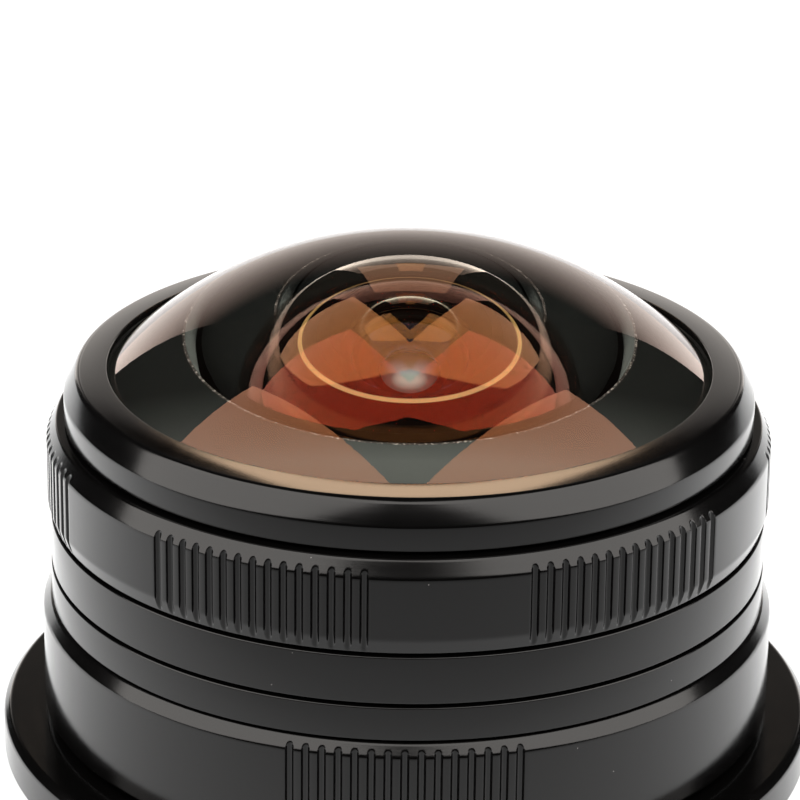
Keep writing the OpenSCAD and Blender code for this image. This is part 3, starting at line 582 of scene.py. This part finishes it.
def turned(outline, angles=None, limit=None):
    """A mesh turned from an outline; limit(angle, height) can cut into its side"""
    angles = angles or [math.tau * step / SEGMENTS for step in range(SEGMENTS)]
    mesh = bmesh.new()
    rows = []
    for turn in angles:
        cos, sin = math.cos(turn), math.sin(turn)
        row = []
        for radius, height in outline:
            if limit:
                radius = min(radius, limit(turn, height))
            row.append(mesh.verts.new((radius * cos, radius * sin, height)))
        rows.append(row)
    for row, ahead in zip(rows, rows[1:] + rows[:1]):
        for number in range(len(outline)):
            mesh.faces.new((row[number - 1], row[number], ahead[number], ahead[number - 1]))
    bmesh.ops.remove_doubles(mesh, verts=mesh.verts, dist=WELD)
    bmesh.ops.delete(mesh, geom=[edge for edge in mesh.edges if not edge.link_faces], context="EDGES")
    return mesh


def dress(piece, material, *others):
    """Gives a piece its finish; each other is a finish and a test of the face's centre"""
    piece.data.materials.clear()
    piece.data.materials.append(material)
    for number, (other, test) in enumerate(others, 1):
        piece.data.materials.append(other)
        for face in piece.data.polygons:
            if test(face.center):
                face.material_index = number
    return piece


# Finishes of the CAD nodes that stay, by their slots
KEPT = {"mount_metal": "Plated mount", "steel": "Bright steel", "blackened_metal": "Blackened inner metal",
        "iris_black": "Blued iris steel", "seal_rubber": "Seal rubber"}


def keep(slot, *nodes):
    """Gives CAD nodes the finish of their slot"""
    for node in nodes:
        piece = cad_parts[node]
        dress(piece, finish(KEPT[slot]))


def reach(node):
    """Outer radius, lower and upper height of a CAD node"""
    low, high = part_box(node)
    return high.x, low.z, high.z


def fluted_angles(groups, turn, flutes, step, width):
    """Angles round a ring, close together over each flute"""
    across = (-1.25, -1.08, -1.0, -0.94, -0.84, -0.68, -0.46, -0.2,
              0.06, 0.34, 0.58, 0.77, 0.9, 0.97, 1.03, 1.14)     # in halves of the width
    land_steps = 24
    angles = set()
    for group in range(groups):
        middle = turn + math.tau * group / groups
        for flute in range(flutes):
            centre = middle + (flute - (flutes - 1) / 2) * step
            angles.update((centre + part * width / 2) % math.tau for part in across)
        land = math.tau / groups - flutes * step
        start = middle + flutes / 2 * step
        angles.update((start + land * part / land_steps) % math.tau for part in range(land_steps + 1))
    return sorted(angles)


def flute_limit(side, groups, turn, flutes, step, width, soft):
    """Radius left by the flutes at an angle"""
    def limit(turned_to, _height):
        local = (turned_to - turn + math.pi / groups) % (math.tau / groups) - math.pi / groups
        number = round(local / step + (flutes - 1) / 2)
        number = min(max(number, 0), flutes - 1)
        offset = side * math.sin(local - (number - (flutes - 1) / 2) * step)
        depth = (width / 2) ** 2 - offset ** 2
        floor = side - math.sqrt(depth) if depth > 0 else side + (abs(offset) - width / 2)
        near = max(soft - abs(floor - side), 0.0) / soft
        return min(floor, side) - near * near * soft / 4
    return limit


def fluted(rings, corners, groups, turn):
    """A ring turned from its corners, with groups of flutes in its widest side"""
    side = max(radius for radius, _, _ in corners)
    flutes = (groups, turn, rings.flutes, rings.flute_step)
    angles = fluted_angles(*flutes, rings.flute_width / side)
    limit = flute_limit(side, *flutes, rings.flute_width, rings.flute_round)
    return turned(divided(rounded(corners), CUT_STEP, sloping), angles, limit)


# Operators, one for each piece or group of like pieces

class FISHEYE_OT_bezel(bpy.types.Operator):
    """Turned bezel and rubber seal round the front glass"""
    bl_idname = "fisheye.bezel"
    bl_label = "Front bezel"

    def execute(self, context):
        rings = context.scene.fisheye_rings
        side, low, high = reach("front_bezel")
        face = side - rings.bezel_chamfer
        fall = high - rings.bezel_fall
        lip = high - rings.lip_height
        outline = rounded([
            (rings.bezel_bore, low, 0), (side, low, rings.edge),
            (side, low + rings.bezel_side, 2 * rings.edge), (face, fall, rings.bezel_round),
            (rings.lip_radius, high, 1.2 * rings.edge), (rings.lip_radius, lip, rings.edge),
            (rings.bezel_bore, lip, 0)])
        piece = place(turned(outline), "front_bezel_turned", "optics", ["front_bezel"])
        dress(piece, satin_anodising(),
              (polished_anodising(), lambda at: at.z > fall and at.xy.length < face))
        keep("seal_rubber", "front_seal")
        return {"FINISHED"}


class FISHEYE_OT_grip_ring(bpy.types.Operator):
    """Grip ring with groups of round-bottomed flutes between two chamfers"""
    bl_idname = "fisheye.grip_ring"
    bl_label = "Grip ring"

    def execute(self, context):
        rings = context.scene.fisheye_rings
        side, low, high = reach("focus_ring")
        foot = high - rings.grip_height
        corners = [
            (rings.bore, low, 0), (rings.neck, low, 0), (rings.neck, foot, 0),
            (side - rings.grip_foot_width, foot, rings.edge),
            (side, foot + rings.grip_foot_height, 2 * rings.edge),
            (side, high - rings.grip_top_height, 2 * rings.edge),
            (side - rings.grip_top_width, high, 1.5 * rings.edge), (rings.bore, high, 0)]
        mesh = fluted(rings, corners, rings.grip_groups, rings.grip_turn)
        dress(place(mesh, "grip_ring_fluted", "focus", ["focus_ring"]), satin_anodising())
        keep("blackened_metal", "focus_retainer")
        return {"FINISHED"}


class FISHEYE_OT_plain_rings(bpy.types.Operator):
    """Distance ring and fixed index ring"""
    bl_idname = "fisheye.plain_rings"
    bl_label = "Distance and index rings"

    def execute(self, context):
        rings = context.scene.fisheye_rings
        soft = 1.6 * rings.edge
        for node, body, bore in (("distance_ring", "focus", rings.neck), ("index_ring", "barrel", rings.bore)):
            side, low, high = reach(node)
            outline = rounded([(bore, low, 0), (side, low, soft), (side, high, soft), (bore, high, 0)])
            piece = place(turned(outline), node + "_turned", body, [node])
            dress(piece, satin_anodising())
        return {"FINISHED"}


class FISHEYE_OT_aperture_ring(bpy.types.Operator):
    """Aperture ring with three groups of flutes"""
    bl_idname = "fisheye.aperture_ring"
    bl_label = "Aperture ring"

    def execute(self, context):
        rings = context.scene.fisheye_rings
        side, low, high = reach("aperture_ring")
        corners = [
            (rings.bore, low, 0), (side - rings.aperture_foot, low, rings.edge),
            (side, low + rings.aperture_foot, 2 * rings.edge),
            (side, high - rings.aperture_top_height, 2 * rings.edge),
            (side - rings.aperture_top_width, high, 1.5 * rings.edge), (rings.bore, high, 0)]
        mesh = fluted(rings, corners, rings.aperture_groups, rings.aperture_turn)
        piece = place(mesh, "aperture_ring_fluted", "aperture", ["aperture_ring"])
        dress(piece, satin_anodising())
        return {"FINISHED"}


class FISHEYE_OT_base(bpy.types.Operator):
    """Base skirt with the seat of the red mounting dot, and the dot"""
    bl_idname = "fisheye.base"
    bl_label = "Base and mounting dot"

    def execute(self, context):
        rings = context.scene.fisheye_rings
        side, low, high = reach("mount_base")
        _, dot_low, dot_high = reach("alignment_dot")
        _, _, plate = reach("bayonet_mount")
        middle = (dot_low + dot_high) / 2
        outline = rounded([
            (rings.bore, plate, 0), (rings.skirt_bore, plate, 0), (rings.skirt_bore, low, rings.edge),
            (side, low, 1.6 * rings.edge), (side, high - rings.base_edge, 2 * rings.edge),
            (side - rings.base_edge, high, 2 * rings.edge), (rings.bore, high, 0)])
        spread = 2 * rings.dot_radius / side
        seat_steps = 40         # on each side of the dot's middle
        seat_gap = 0.00004      # between the dot and its seat
        angles = sorted({math.tau * step / SEGMENTS for step in range(SEGMENTS)}
                        | {FAR_SIDE + spread * step / seat_steps for step in range(-seat_steps, seat_steps + 1)})

        def limit(turn, height):
            away = math.hypot(side * (turn - FAR_SIDE), height - middle)
            return side - rings.dot_sink if away < rings.dot_radius + seat_gap else side

        mesh = turned(divided(outline, SEAT_STEP, upright), angles, limit)
        dress(place(mesh, "base_skirt", "barrel", ["mount_base"]), satin_anodising())

        crown = [(0.0, 0.00026), (0.4, 0.00024), (0.75, 0.00018), (0.94, 0.00008), (1.0, 0.0), (0.0, 0.0)]
        dot_steps = 48
        dot = turned([Vector((rings.dot_radius * across, rise)) for across, rise in crown],
                     [math.tau * step / dot_steps for step in range(dot_steps)])
        seat = Matrix.Translation((0.0, side - rings.dot_sink, middle))
        bmesh.ops.transform(dot, verts=dot.verts, matrix=seat @ Matrix.Rotation(-math.pi / 2, 4, "X"))
        dress(place(dot, "mounting_dot", "barrel", ["alignment_dot"]), finish("Red enamel"))
        return {"FINISHED"}


def bent_figure(mesh, text, height, radius, turn, middle):
    """A figure from the built-in font, bent round a ring"""
    body = 1.35             # size of the font for a figure of unit height
    curve = bpy.data.curves.new("figure", "FONT")
    curve.body = text
    curve.size = height * body
    curve.align_x = "CENTER"
    curve.align_y = "CENTER"
    carrier = bpy.data.objects.new("figure", curve)
    flat = carrier.to_mesh()
    first = len(mesh.verts)
    mesh.from_mesh(flat)
    mesh.verts.ensure_lookup_table()
    for vert in mesh.verts[first:]:
        at = turn + vert.co.x / radius
        vert.co = (radius * math.cos(at), radius * math.sin(at), middle + vert.co.y)
    carrier.to_mesh_clear()
    bpy.data.objects.remove(carrier)
    bpy.data.curves.remove(curve)


def painted_line(mesh, radius, turn, low, high, width=LINE):
    """An upright painted line on a ring"""
    half = width / 2 / radius
    corners = [(turn - half, low), (turn + half, low), (turn + half, high), (turn - half, high)]
    mesh.faces.new([mesh.verts.new((radius * math.cos(at), radius * math.sin(at), z)) for at, z in corners])


class FISHEYE_OT_scales(bpy.types.Operator):
    """Painted figures and lines on the far side of the rings"""
    bl_idname = "fisheye.scales"
    bl_label = "Scales"

    def execute(self, context):
        height = context.scene.fisheye_rings.figure_height
        margin = 0.0002         # from a line to the edge of its ring
        metres = (("∞", 0), ("1", 10), ("0.5", 20), ("0.3", 33.3), ("0.2", 50), ("0.15", 66.7))
        stops = ("2.8", "4", "5.6", "8", "11", "16", "22")
        stop_step = 38.0 / 6    # degrees from stop to stop

        side, low, high = reach("distance_ring")
        self.scale("distance_scale", "focus", side + PAINT, metres, height, high - 0.0011,
                   low + margin, low + 0.0008)

        side, low, high = reach("index_ring")
        mesh = bmesh.new()
        painted_line(mesh, side + PAINT, FAR_SIDE, low + margin, high - margin, 1.6 * LINE)
        for degrees in (-12.0, -6.0, 6.0, 12.0):
            painted_line(mesh, side + PAINT, FAR_SIDE + math.radians(degrees), high - 0.0009, high - margin)
        dress(place(mesh, "index_lines", "barrel"), finish("Filled paint"))

        side, low, high = reach("aperture_ring")
        marks = [(text, stop_step * number) for number, text in enumerate(stops)]
        self.scale("aperture_scale", "aperture", side + PAINT, marks, height, high - 0.0028,
                   high - 0.0017, high - 0.0009)
        return {"FINISHED"}

    def scale(self, name, body, radius, marks, height, middle, low, high):
        """Figures round a ring at their degrees, each with its line from low to high"""
        mesh = bmesh.new()
        for text, degrees in marks:
            turn = FAR_SIDE - math.radians(degrees)
            bent_figure(mesh, text, height, radius, turn, middle)
            painted_line(mesh, radius, turn, low, high)
        dress(place(mesh, name, body), finish("Filled paint"))


class FISHEYE_OT_mount(bpy.types.Operator):
    """Bayonet plate, its screws and the rear light stop"""
    bl_idname = "fisheye.mount"
    bl_label = "Mount"

    def execute(self, context):
        keep("mount_metal", "bayonet_mount")
        keep("steel", "mount_screws")
        keep("blackened_metal", "rear_baffle")
        return {"FINISHED"}


class FISHEYE_OT_front_glass(bpy.types.Operator):
    """Front dome with its hollow, inked ring and ground rim"""
    bl_idname = "fisheye.front_glass"
    bl_label = "Front glass"

    def execute(self, context):
        glass = context.scene.fisheye_glass
        side, low, high = reach("front_element")
        low += glass.seat_film
        top = high - glass.dome_middle
        depth = top - low
        ball = (glass.dome_hollow ** 2 + depth ** 2) / (2 * depth)
        rim = glass.dome_hollow + glass.rim_ground
        centre = Vector((0.0, 0.0, top - ball))
        ink_steps = 6
        chip_height = 4e-5
        outline = sphere_arc(high, glass.dome_radius, side, 72)
        outline += [Vector((side + (rim - side) * step / ink_steps, low)) for step in range(ink_steps + 1)]
        outline += sphere_arc(top, ball, glass.dome_hollow, 56)[::-1]
        piece = place(turned(outline), "front_dome", "optics", ["front_element"])
        index, tone = glass.dome_index, glass.dome_tone
        dress(piece, glass_finish("Front glass", index, glass.dome_coat, tone),
              (glass_finish("Front glass rear", index, glass.dome_rear, tone),
               lambda at: (at - centre).length < ball + NEAR),
              (rim_ink_painted_sheen(glass), lambda at: at.z < low + FLAT and at.xy.length > rim),
              (chipped_rim_painted_glints(),
               lambda at: at.z < low + chip_height and rim > at.xy.length > glass.dome_hollow - NEAR),
              (finish("Edge ink"), lambda at: at.xy.length > side - NEAR))
        return {"FINISHED"}


class FISHEYE_OT_inner_glass(bpy.types.Operator):
    """Second glass, the small glasses before the iris and those behind it"""
    bl_idname = "fisheye.inner_glass"
    bl_label = "Inner glass"

    def execute(self, context):
        glass = context.scene.fisheye_glass
        self.second(glass)
        inner = glass_finish("Inner glass", glass.inner_index, glass.inner_coat)
        self.lens(inner, "third_element", -glass.third_front, -glass.third_rear, glass.ledge / 2, glass.ledge)
        self.lens(inner, "fourth_element", glass.fourth_front, glass.fourth_rear)
        self.lens(inner, "doublet_crown", glass.doublet_front, glass.doublet_inner, cemented="rear")
        self.lens(inner, "doublet_flint", -glass.doublet_inner, math.inf, cemented="front")
        self.lens(inner, "rear_element", glass.rear_front, glass.rear_rear)
        return {"FINISHED"}

    def second(self, glass):
        """Second glass: a dome on a flange, with a deep hollow behind it"""
        flange, low, high = reach("second_element")
        side = glass.second_radius
        shelf = low + glass.second_flange
        low += glass.seat_film
        top = low + glass.second_depth
        ball = (glass.second_hollow ** 2 + glass.second_depth ** 2) / (2 * glass.second_depth)
        centre = Vector((0.0, 0.0, top - ball))
        end = math.sqrt(ball ** 2 - (glass.second_ground - glass.second_depth + ball) ** 2)
        rim = glass.second_hollow + glass.second_ground
        outline = sphere_arc(high, glass.second_front, side, 56)
        outline += [Vector(at) for at in ((side, shelf), (flange, shelf), (flange, low), (rim, low))]
        outline += sphere_arc(top, ball, end, 56)[::-1]
        piece = place(turned(outline), "second_glass", "optics", ["second_element"])
        dress(piece, glass_finish("Second glass", glass.inner_index, glass.second_coat),
              (glass_finish("Hollow glass", glass.inner_index, glass.hollow_coat),
               lambda at: (at - centre).length < ball + NEAR),
              (finish("Edge ink"), lambda at: at.xy.length > side - NEAR or at.z < low + FLAT),
              (finish("Ground glass"),
               lambda at: low + FLAT < at.z < low + glass.second_ground and at.xy.length < rim))

    def lens(self, inner, node, front, rear, front_flat=0.0, rear_flat=0.0, cemented=""):
        """One small glass; its cemented face, if any, passes light unbent"""
        side, low, high = reach(node)
        outline = self.face(high, front, side, front_flat, 1)
        outline += self.face(low, rear, side, rear_flat, -1)[::-1]
        piece = place(turned(outline), node + "_ground", "optics", [node])
        faces = [(finish("Edge ink"), lambda at: at.xy.length > side - NEAR)]
        if cemented == "rear":
            faces.append((cement(), lambda at: at.z < low + sag(rear, at.xy.length) + NEAR))
        if cemented == "front":
            faces.append((cement(), lambda at: at.z > low + NEAR and at.xy.length < side - NEAR))
        dress(piece, inner, *faces)

    def face(self, level, radius, side, flat, way):
        """One face of a lens; a negative radius is hollow, level is the face's outermost height"""
        if math.isinf(radius):
            return [Vector((side * step / 4, level)) for step in range(5)]
        rim = side - flat
        apex = level if radius > 0 else level - way * sag(-radius, rim)
        return sphere_arc(apex, way * radius, rim) + ([Vector((side, level))] if flat else [])


class FISHEYE_OT_cells(bpy.types.Operator):
    """Cells and retaining rings that hold the glass"""
    bl_idname = "fisheye.cells"
    bl_label = "Cells"

    def execute(self, context):
        keep("blackened_metal", "front_cell", "inner_cell", "second_retainer", "third_retainer",
             "front_spacer", "rear_cell", "rear_spacer", "rear_retainer", "iris_housing")
        keep("steel", "cell_screws")
        return {"FINISHED"}


class FISHEYE_OT_iris(bpy.types.Operator):
    """Iris blades and the ring that drives them"""
    bl_idname = "fisheye.iris"
    bl_label = "Iris"

    def execute(self, context):
        keep("iris_black", *(f"iris_blade_{number}" for number in range(1, 8)))
        keep("blackened_metal", "iris_drive_ring")
        return {"FINISHED"}


class FISHEYE_OT_works(bpy.types.Operator):
    """Barrel, cam followers, drive pin and click stop"""
    bl_idname = "fisheye.works"
    bl_label = "Barrel and works"

    def execute(self, context):
        keep("blackened_metal", "main_barrel")
        keep("steel", "focus_followers", "aperture_drive_pin", "click_ball", "click_spring")
        return {"FINISHED"}


def direction(across, up):
    """Unit vector to a place in the room: across from the camera's side to the right, and up"""
    across, up = math.radians(across), math.radians(up)
    return Vector((math.cos(up) * math.sin(across), -math.cos(up) * math.cos(across), math.sin(up)))


def stage_sheet(name, corners, material):
    """A flat sheet of the studio"""
    mesh = bpy.data.meshes.new(name)
    mesh.from_pydata([tuple(corner) for corner in corners], [], [list(range(len(corners)))])
    mesh.materials.append(material)
    sheet = bpy.data.objects.new(name, mesh)
    bpy.context.scene.collection.objects.link(sheet)
    return sheet


class FISHEYE_OT_studio(bpy.types.Operator):
    """Pale floor and backdrop, two soft panels, room and camera"""
    bl_idname = "fisheye.studio"
    bl_label = "Studio"

    def execute(self, context):
        studio = context.scene.fisheye_studio
        self.backdrop(studio, self.floor(studio))
        self.panels(studio)
        self.room(context.scene, studio)
        self.camera(context.scene, studio)
        context.scene.view_settings.view_transform = "Standard"
        return {"FINISHED"}

    def paper(self, name, base, light=WHITE, **values):
        """Matt sheet and the sockets of its place along X, Y and Z"""
        material, tree, skin = new_finish(name, base, 0.9, Emission_Color=(*light, 1.0), **values)
        return material, tree, skin, spot(tree)

    def show_white(self, tree, skin, at, through):
        """Lets a sheet look white with its shadow to the camera, and in part through the glass; its back
        is not seen"""
        lit = 0.35              # part of the white that a shadow can take away
        own = 0.78              # part that glows by itself near the lens
        near, far = 0.12, 0.3   # distances between which the glow rises to full white
        shaded = add_node(tree, "ShaderNodeBsdfDiffuse", {"Color": (lit, lit, lit, 1.0)})
        glow = add_node(tree, "ShaderNodeEmission", {"Color": (*WHITE, 1.0)})
        distant = smooth_step(span(at["X"], at["Y"]), near, far)
        link(maths("MULTIPLY_ADD", distant, 1.0 - own, own), glow.inputs["Strength"])
        white = add_node(tree, "ShaderNodeAddShader")
        link(shaded.outputs[0], white.inputs[0])
        link(glow.outputs[0], white.inputs[1])
        path = add_node(tree, "ShaderNodeLightPath")
        dim = maths("MULTIPLY", path.outputs["Is Transmission Ray"], through)
        seen = maths("MAXIMUM", path.outputs["Is Camera Ray"], dim)
        back = add_node(tree, "ShaderNodeNewGeometry").outputs["Backfacing"]
        clear = add_node(tree, "ShaderNodeBsdfTransparent")
        surface = mix_shaders(seen, skin.outputs[0], white.outputs[0])
        surface = mix_shaders(back, surface, clear.outputs[0])
        link(surface, tree.nodes["Material Output"].inputs["Surface"])

    def floor(self, studio):
        """Floor sheet, paler and brighter behind the lens than before it in reflections: painted shade and glow
        """
        dim = 0.35              # share of its colour that the floor has before the lens
        glow = 0.8              # light of the floor behind the lens
        half = 1.5              # half its width
        pearl = studio.pearl
        material, tree, skin, at = self.paper("Studio paper", studio.floor)
        # Painted shade: the floor's colour is darker before the lens
        behind = smooth_step(at["Y"], -0.1, 0.02)
        link(blend(behind, shade(studio.floor, dim), studio.floor), skin.inputs["Base Color"])
        # Painted glow: the floor glows behind the lens
        lit = smooth_step(at["Y"], -0.05, 0.02)
        # Painted shadow: under the lens the glow is taken away for rays through the glass
        painted_shadow_under = smooth_step(span(at["X"], at["Y"]), 0.03, 0.02)
        path = add_node(tree, "ShaderNodeLightPath")
        inside = maths("MULTIPLY", painted_shadow_under, path.outputs["Is Transmission Ray"])
        level = maths("MULTIPLY", lit, maths("SUBTRACT", 1.0, inside))
        link(maths("MULTIPLY", level, glow), skin.inputs["Emission Strength"])
        # Painted light in the pupil: a glowing spot on the floor and its halo, seen through the glass: outer
        # edge, inner edge and whiteness
        away = span(at["X"], maths("SUBTRACT", at["Y"], studio.pearl_place))
        lights = [maths("MULTIPLY", smooth_step(away, outer * pearl, inner * pearl), white)
                  for outer, inner, white in ((1.4, 0.5, 0.5), (3.2, 1.2, 0.13))]
        self.show_white(tree, skin, at, maths("ADD", *lights))
        _, low, _ = reach("bayonet_mount")
        low -= studio.floor_gap
        corners = [(-half, -half, low), (half, -half, low), (half, half, low), (-half, half, low)]
        stage_sheet("floor", corners, material)
        return low

    def backdrop(self, studio, low):
        """Lit sheet behind the lens that darkens upwards and towards its middle"""
        sides, middle = 21.0, 1.1       # rise of its light with the square of the distance, from the middle's
        fading, falloff = 0.8, 1.5      # share of its height that it fades over, and how fast
        through = 0.35                  # how white it shows through the glass
        wide, far, top = studio.backdrop_width, studio.backdrop_distance, studio.backdrop_height
        material, tree, skin, at = self.paper("Backdrop", (0.0, 0.0, 0.0), studio.backdrop_colour,
                                              Specular_IOR_Level=0.0)
        fade = maths("SUBTRACT", 1.0, smooth_step(at["Z"], 0.0, fading * top))
        level = maths("MULTIPLY_ADD", maths("MULTIPLY", at["X"], at["X"]), sides, middle)
        level = maths("MULTIPLY", maths("POWER", fade, falloff), level)
        link(level, skin.inputs["Emission Strength"])
        self.show_white(tree, skin, at, through)
        corners = [(-wide, far, low), (wide, far, low), (wide, far, top), (-wide, far, top)]
        stage_sheet("backdrop", corners, material)

    def lamp_cloth(self, name, tint, light):
        """Evenly lit cloth"""
        material = bpy.data.materials.new(name)
        material.use_nodes = True
        tree = material.node_tree
        tree.nodes.clear()
        glow = add_node(tree, "ShaderNodeEmission", {"Color": (*tint, 1.0), "Strength": light})
        link(glow.outputs[0], add_node(tree, "ShaderNodeOutputMaterial").inputs["Surface"])
        return material

    def panels(self, studio):
        """Lamp over the backdrop and two soft panels, one the mirror image of the other"""
        over = ((172, 31), (172, 46), (-172, 46), (-172, 31))           # corners in degrees across and up
        panel = ((0, 62), (120, 52.8), (90, 0), (60, 7.7), (0, 42))
        over_distance = 0.7
        facing = Vector((0.676, -0.360, 0.643)).normalized()
        ways = [direction(*corner) for corner in panel]
        right = [way * (studio.panel_distance / way.dot(facing)) for way in ways]
        left = [Vector((-corner.x, corner.y, corner.z)) for corner in reversed(right)]
        lamp = self.lamp_cloth("Back lamp", studio.back_colour, studio.back_light)
        soft = self.lamp_cloth("Soft panel", studio.panel_colour, studio.panel_light)
        for name, corners, cloth in (("back_lamp", [direction(*corner) * over_distance for corner in over], lamp),
                                     ("panel_right", right, soft), ("panel_left", left, soft)):
            stage_sheet(name, corners, cloth).visible_camera = False

    def room(self, scene, studio):
        """World that fills matt surfaces, stays dark in reflections and is white to the camera"""
        world = bpy.data.worlds.new("Room")
        world.use_nodes = True
        scene.world = world
        tree = world.node_tree
        shine = tree.nodes["Background"]
        path = add_node(tree, "ShaderNodeLightPath")
        mirrored = maths("MAXIMUM", path.outputs["Is Glossy Ray"], path.outputs["Is Transmission Ray"])
        level = maths("MULTIPLY_ADD", mirrored, studio.gloom - studio.fill, studio.fill)
        level = maths("MAXIMUM", level, path.outputs["Is Camera Ray"])
        shine.inputs["Color"].default_value = (*WHITE, 1.0)
        link(level, shine.inputs["Strength"])

    def camera(self, scene, studio):
        """Camera at the photograph's viewing angle"""
        lens = bpy.data.cameras.new("Camera")
        lens.lens = studio.focal
        lens.sensor_width = 36.0
        lens.clip_start = 0.01
        lens.dof.use_dof = False
        eye = bpy.data.objects.new("Camera", lens)
        scene.collection.objects.link(eye)
        level = math.cos(studio.pitch)
        right = Vector((math.cos(studio.yaw), math.sin(studio.yaw), 0.0))
        ahead = Vector((-math.sin(studio.yaw) * level, math.cos(studio.yaw) * level, -math.sin(studio.pitch)))
        up = right.cross(ahead)
        across = right * math.cos(studio.roll) + up * math.sin(studio.roll)
        above = up * math.cos(studio.roll) - right * math.sin(studio.roll)
        turn = Matrix((across, above, -ahead)).transposed().to_4x4()
        eye.matrix_world = Matrix.Translation(Vector(studio.camera)) @ turn
        scene.camera = eye


OPERATORS = (FISHEYE_OT_bezel, FISHEYE_OT_grip_ring, FISHEYE_OT_plain_rings, FISHEYE_OT_aperture_ring,
             FISHEYE_OT_base, FISHEYE_OT_scales, FISHEYE_OT_mount, FISHEYE_OT_front_glass,
             FISHEYE_OT_inner_glass, FISHEYE_OT_cells, FISHEYE_OT_iris, FISHEYE_OT_works, FISHEYE_OT_studio)
SETTINGS = {"fisheye_rings": RingSettings, "fisheye_glass": GlassSettings, "fisheye_mount": MountSettings,
            "fisheye_studio": StudioSettings}


class FISHEYE_PT_panel(bpy.types.Panel):
    """Buttons for the pieces of the lens"""
    bl_idname = "FISHEYE_PT_panel"
    bl_label = "Fisheye lens"
    bl_space_type = "VIEW_3D"
    bl_region_type = "UI"
    bl_category = "Fisheye"

    def draw(self, context):
        for operator in OPERATORS:
            self.layout.operator(operator.bl_idname)


def register():
    """Adds the settings, buttons and panel"""
    for group in SETTINGS.values():
        bpy.utils.register_class(group)
    for name, group in SETTINGS.items():
        setattr(bpy.types.Scene, name, PointerProperty(type=group))
    for operator in OPERATORS:
        bpy.utils.register_class(operator)
    bpy.utils.register_class(FISHEYE_PT_panel)


def unregister():
    """Takes them away again"""
    bpy.utils.unregister_class(FISHEYE_PT_panel)
    for operator in reversed(OPERATORS):
        bpy.utils.unregister_class(operator)
    for name, group in SETTINGS.items():
        delattr(bpy.types.Scene, name)
        bpy.utils.unregister_class(group)


def main():
    """Builds the lens and its studio"""
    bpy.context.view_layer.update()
    register()
    for operator in OPERATORS:
        family, name = operator.bl_idname.split(".")
        if getattr(getattr(bpy.ops, family), name)() != {"FINISHED"}:
            raise RuntimeError(operator.bl_label + " was not built")


if __name__ == "__main__":
    main()
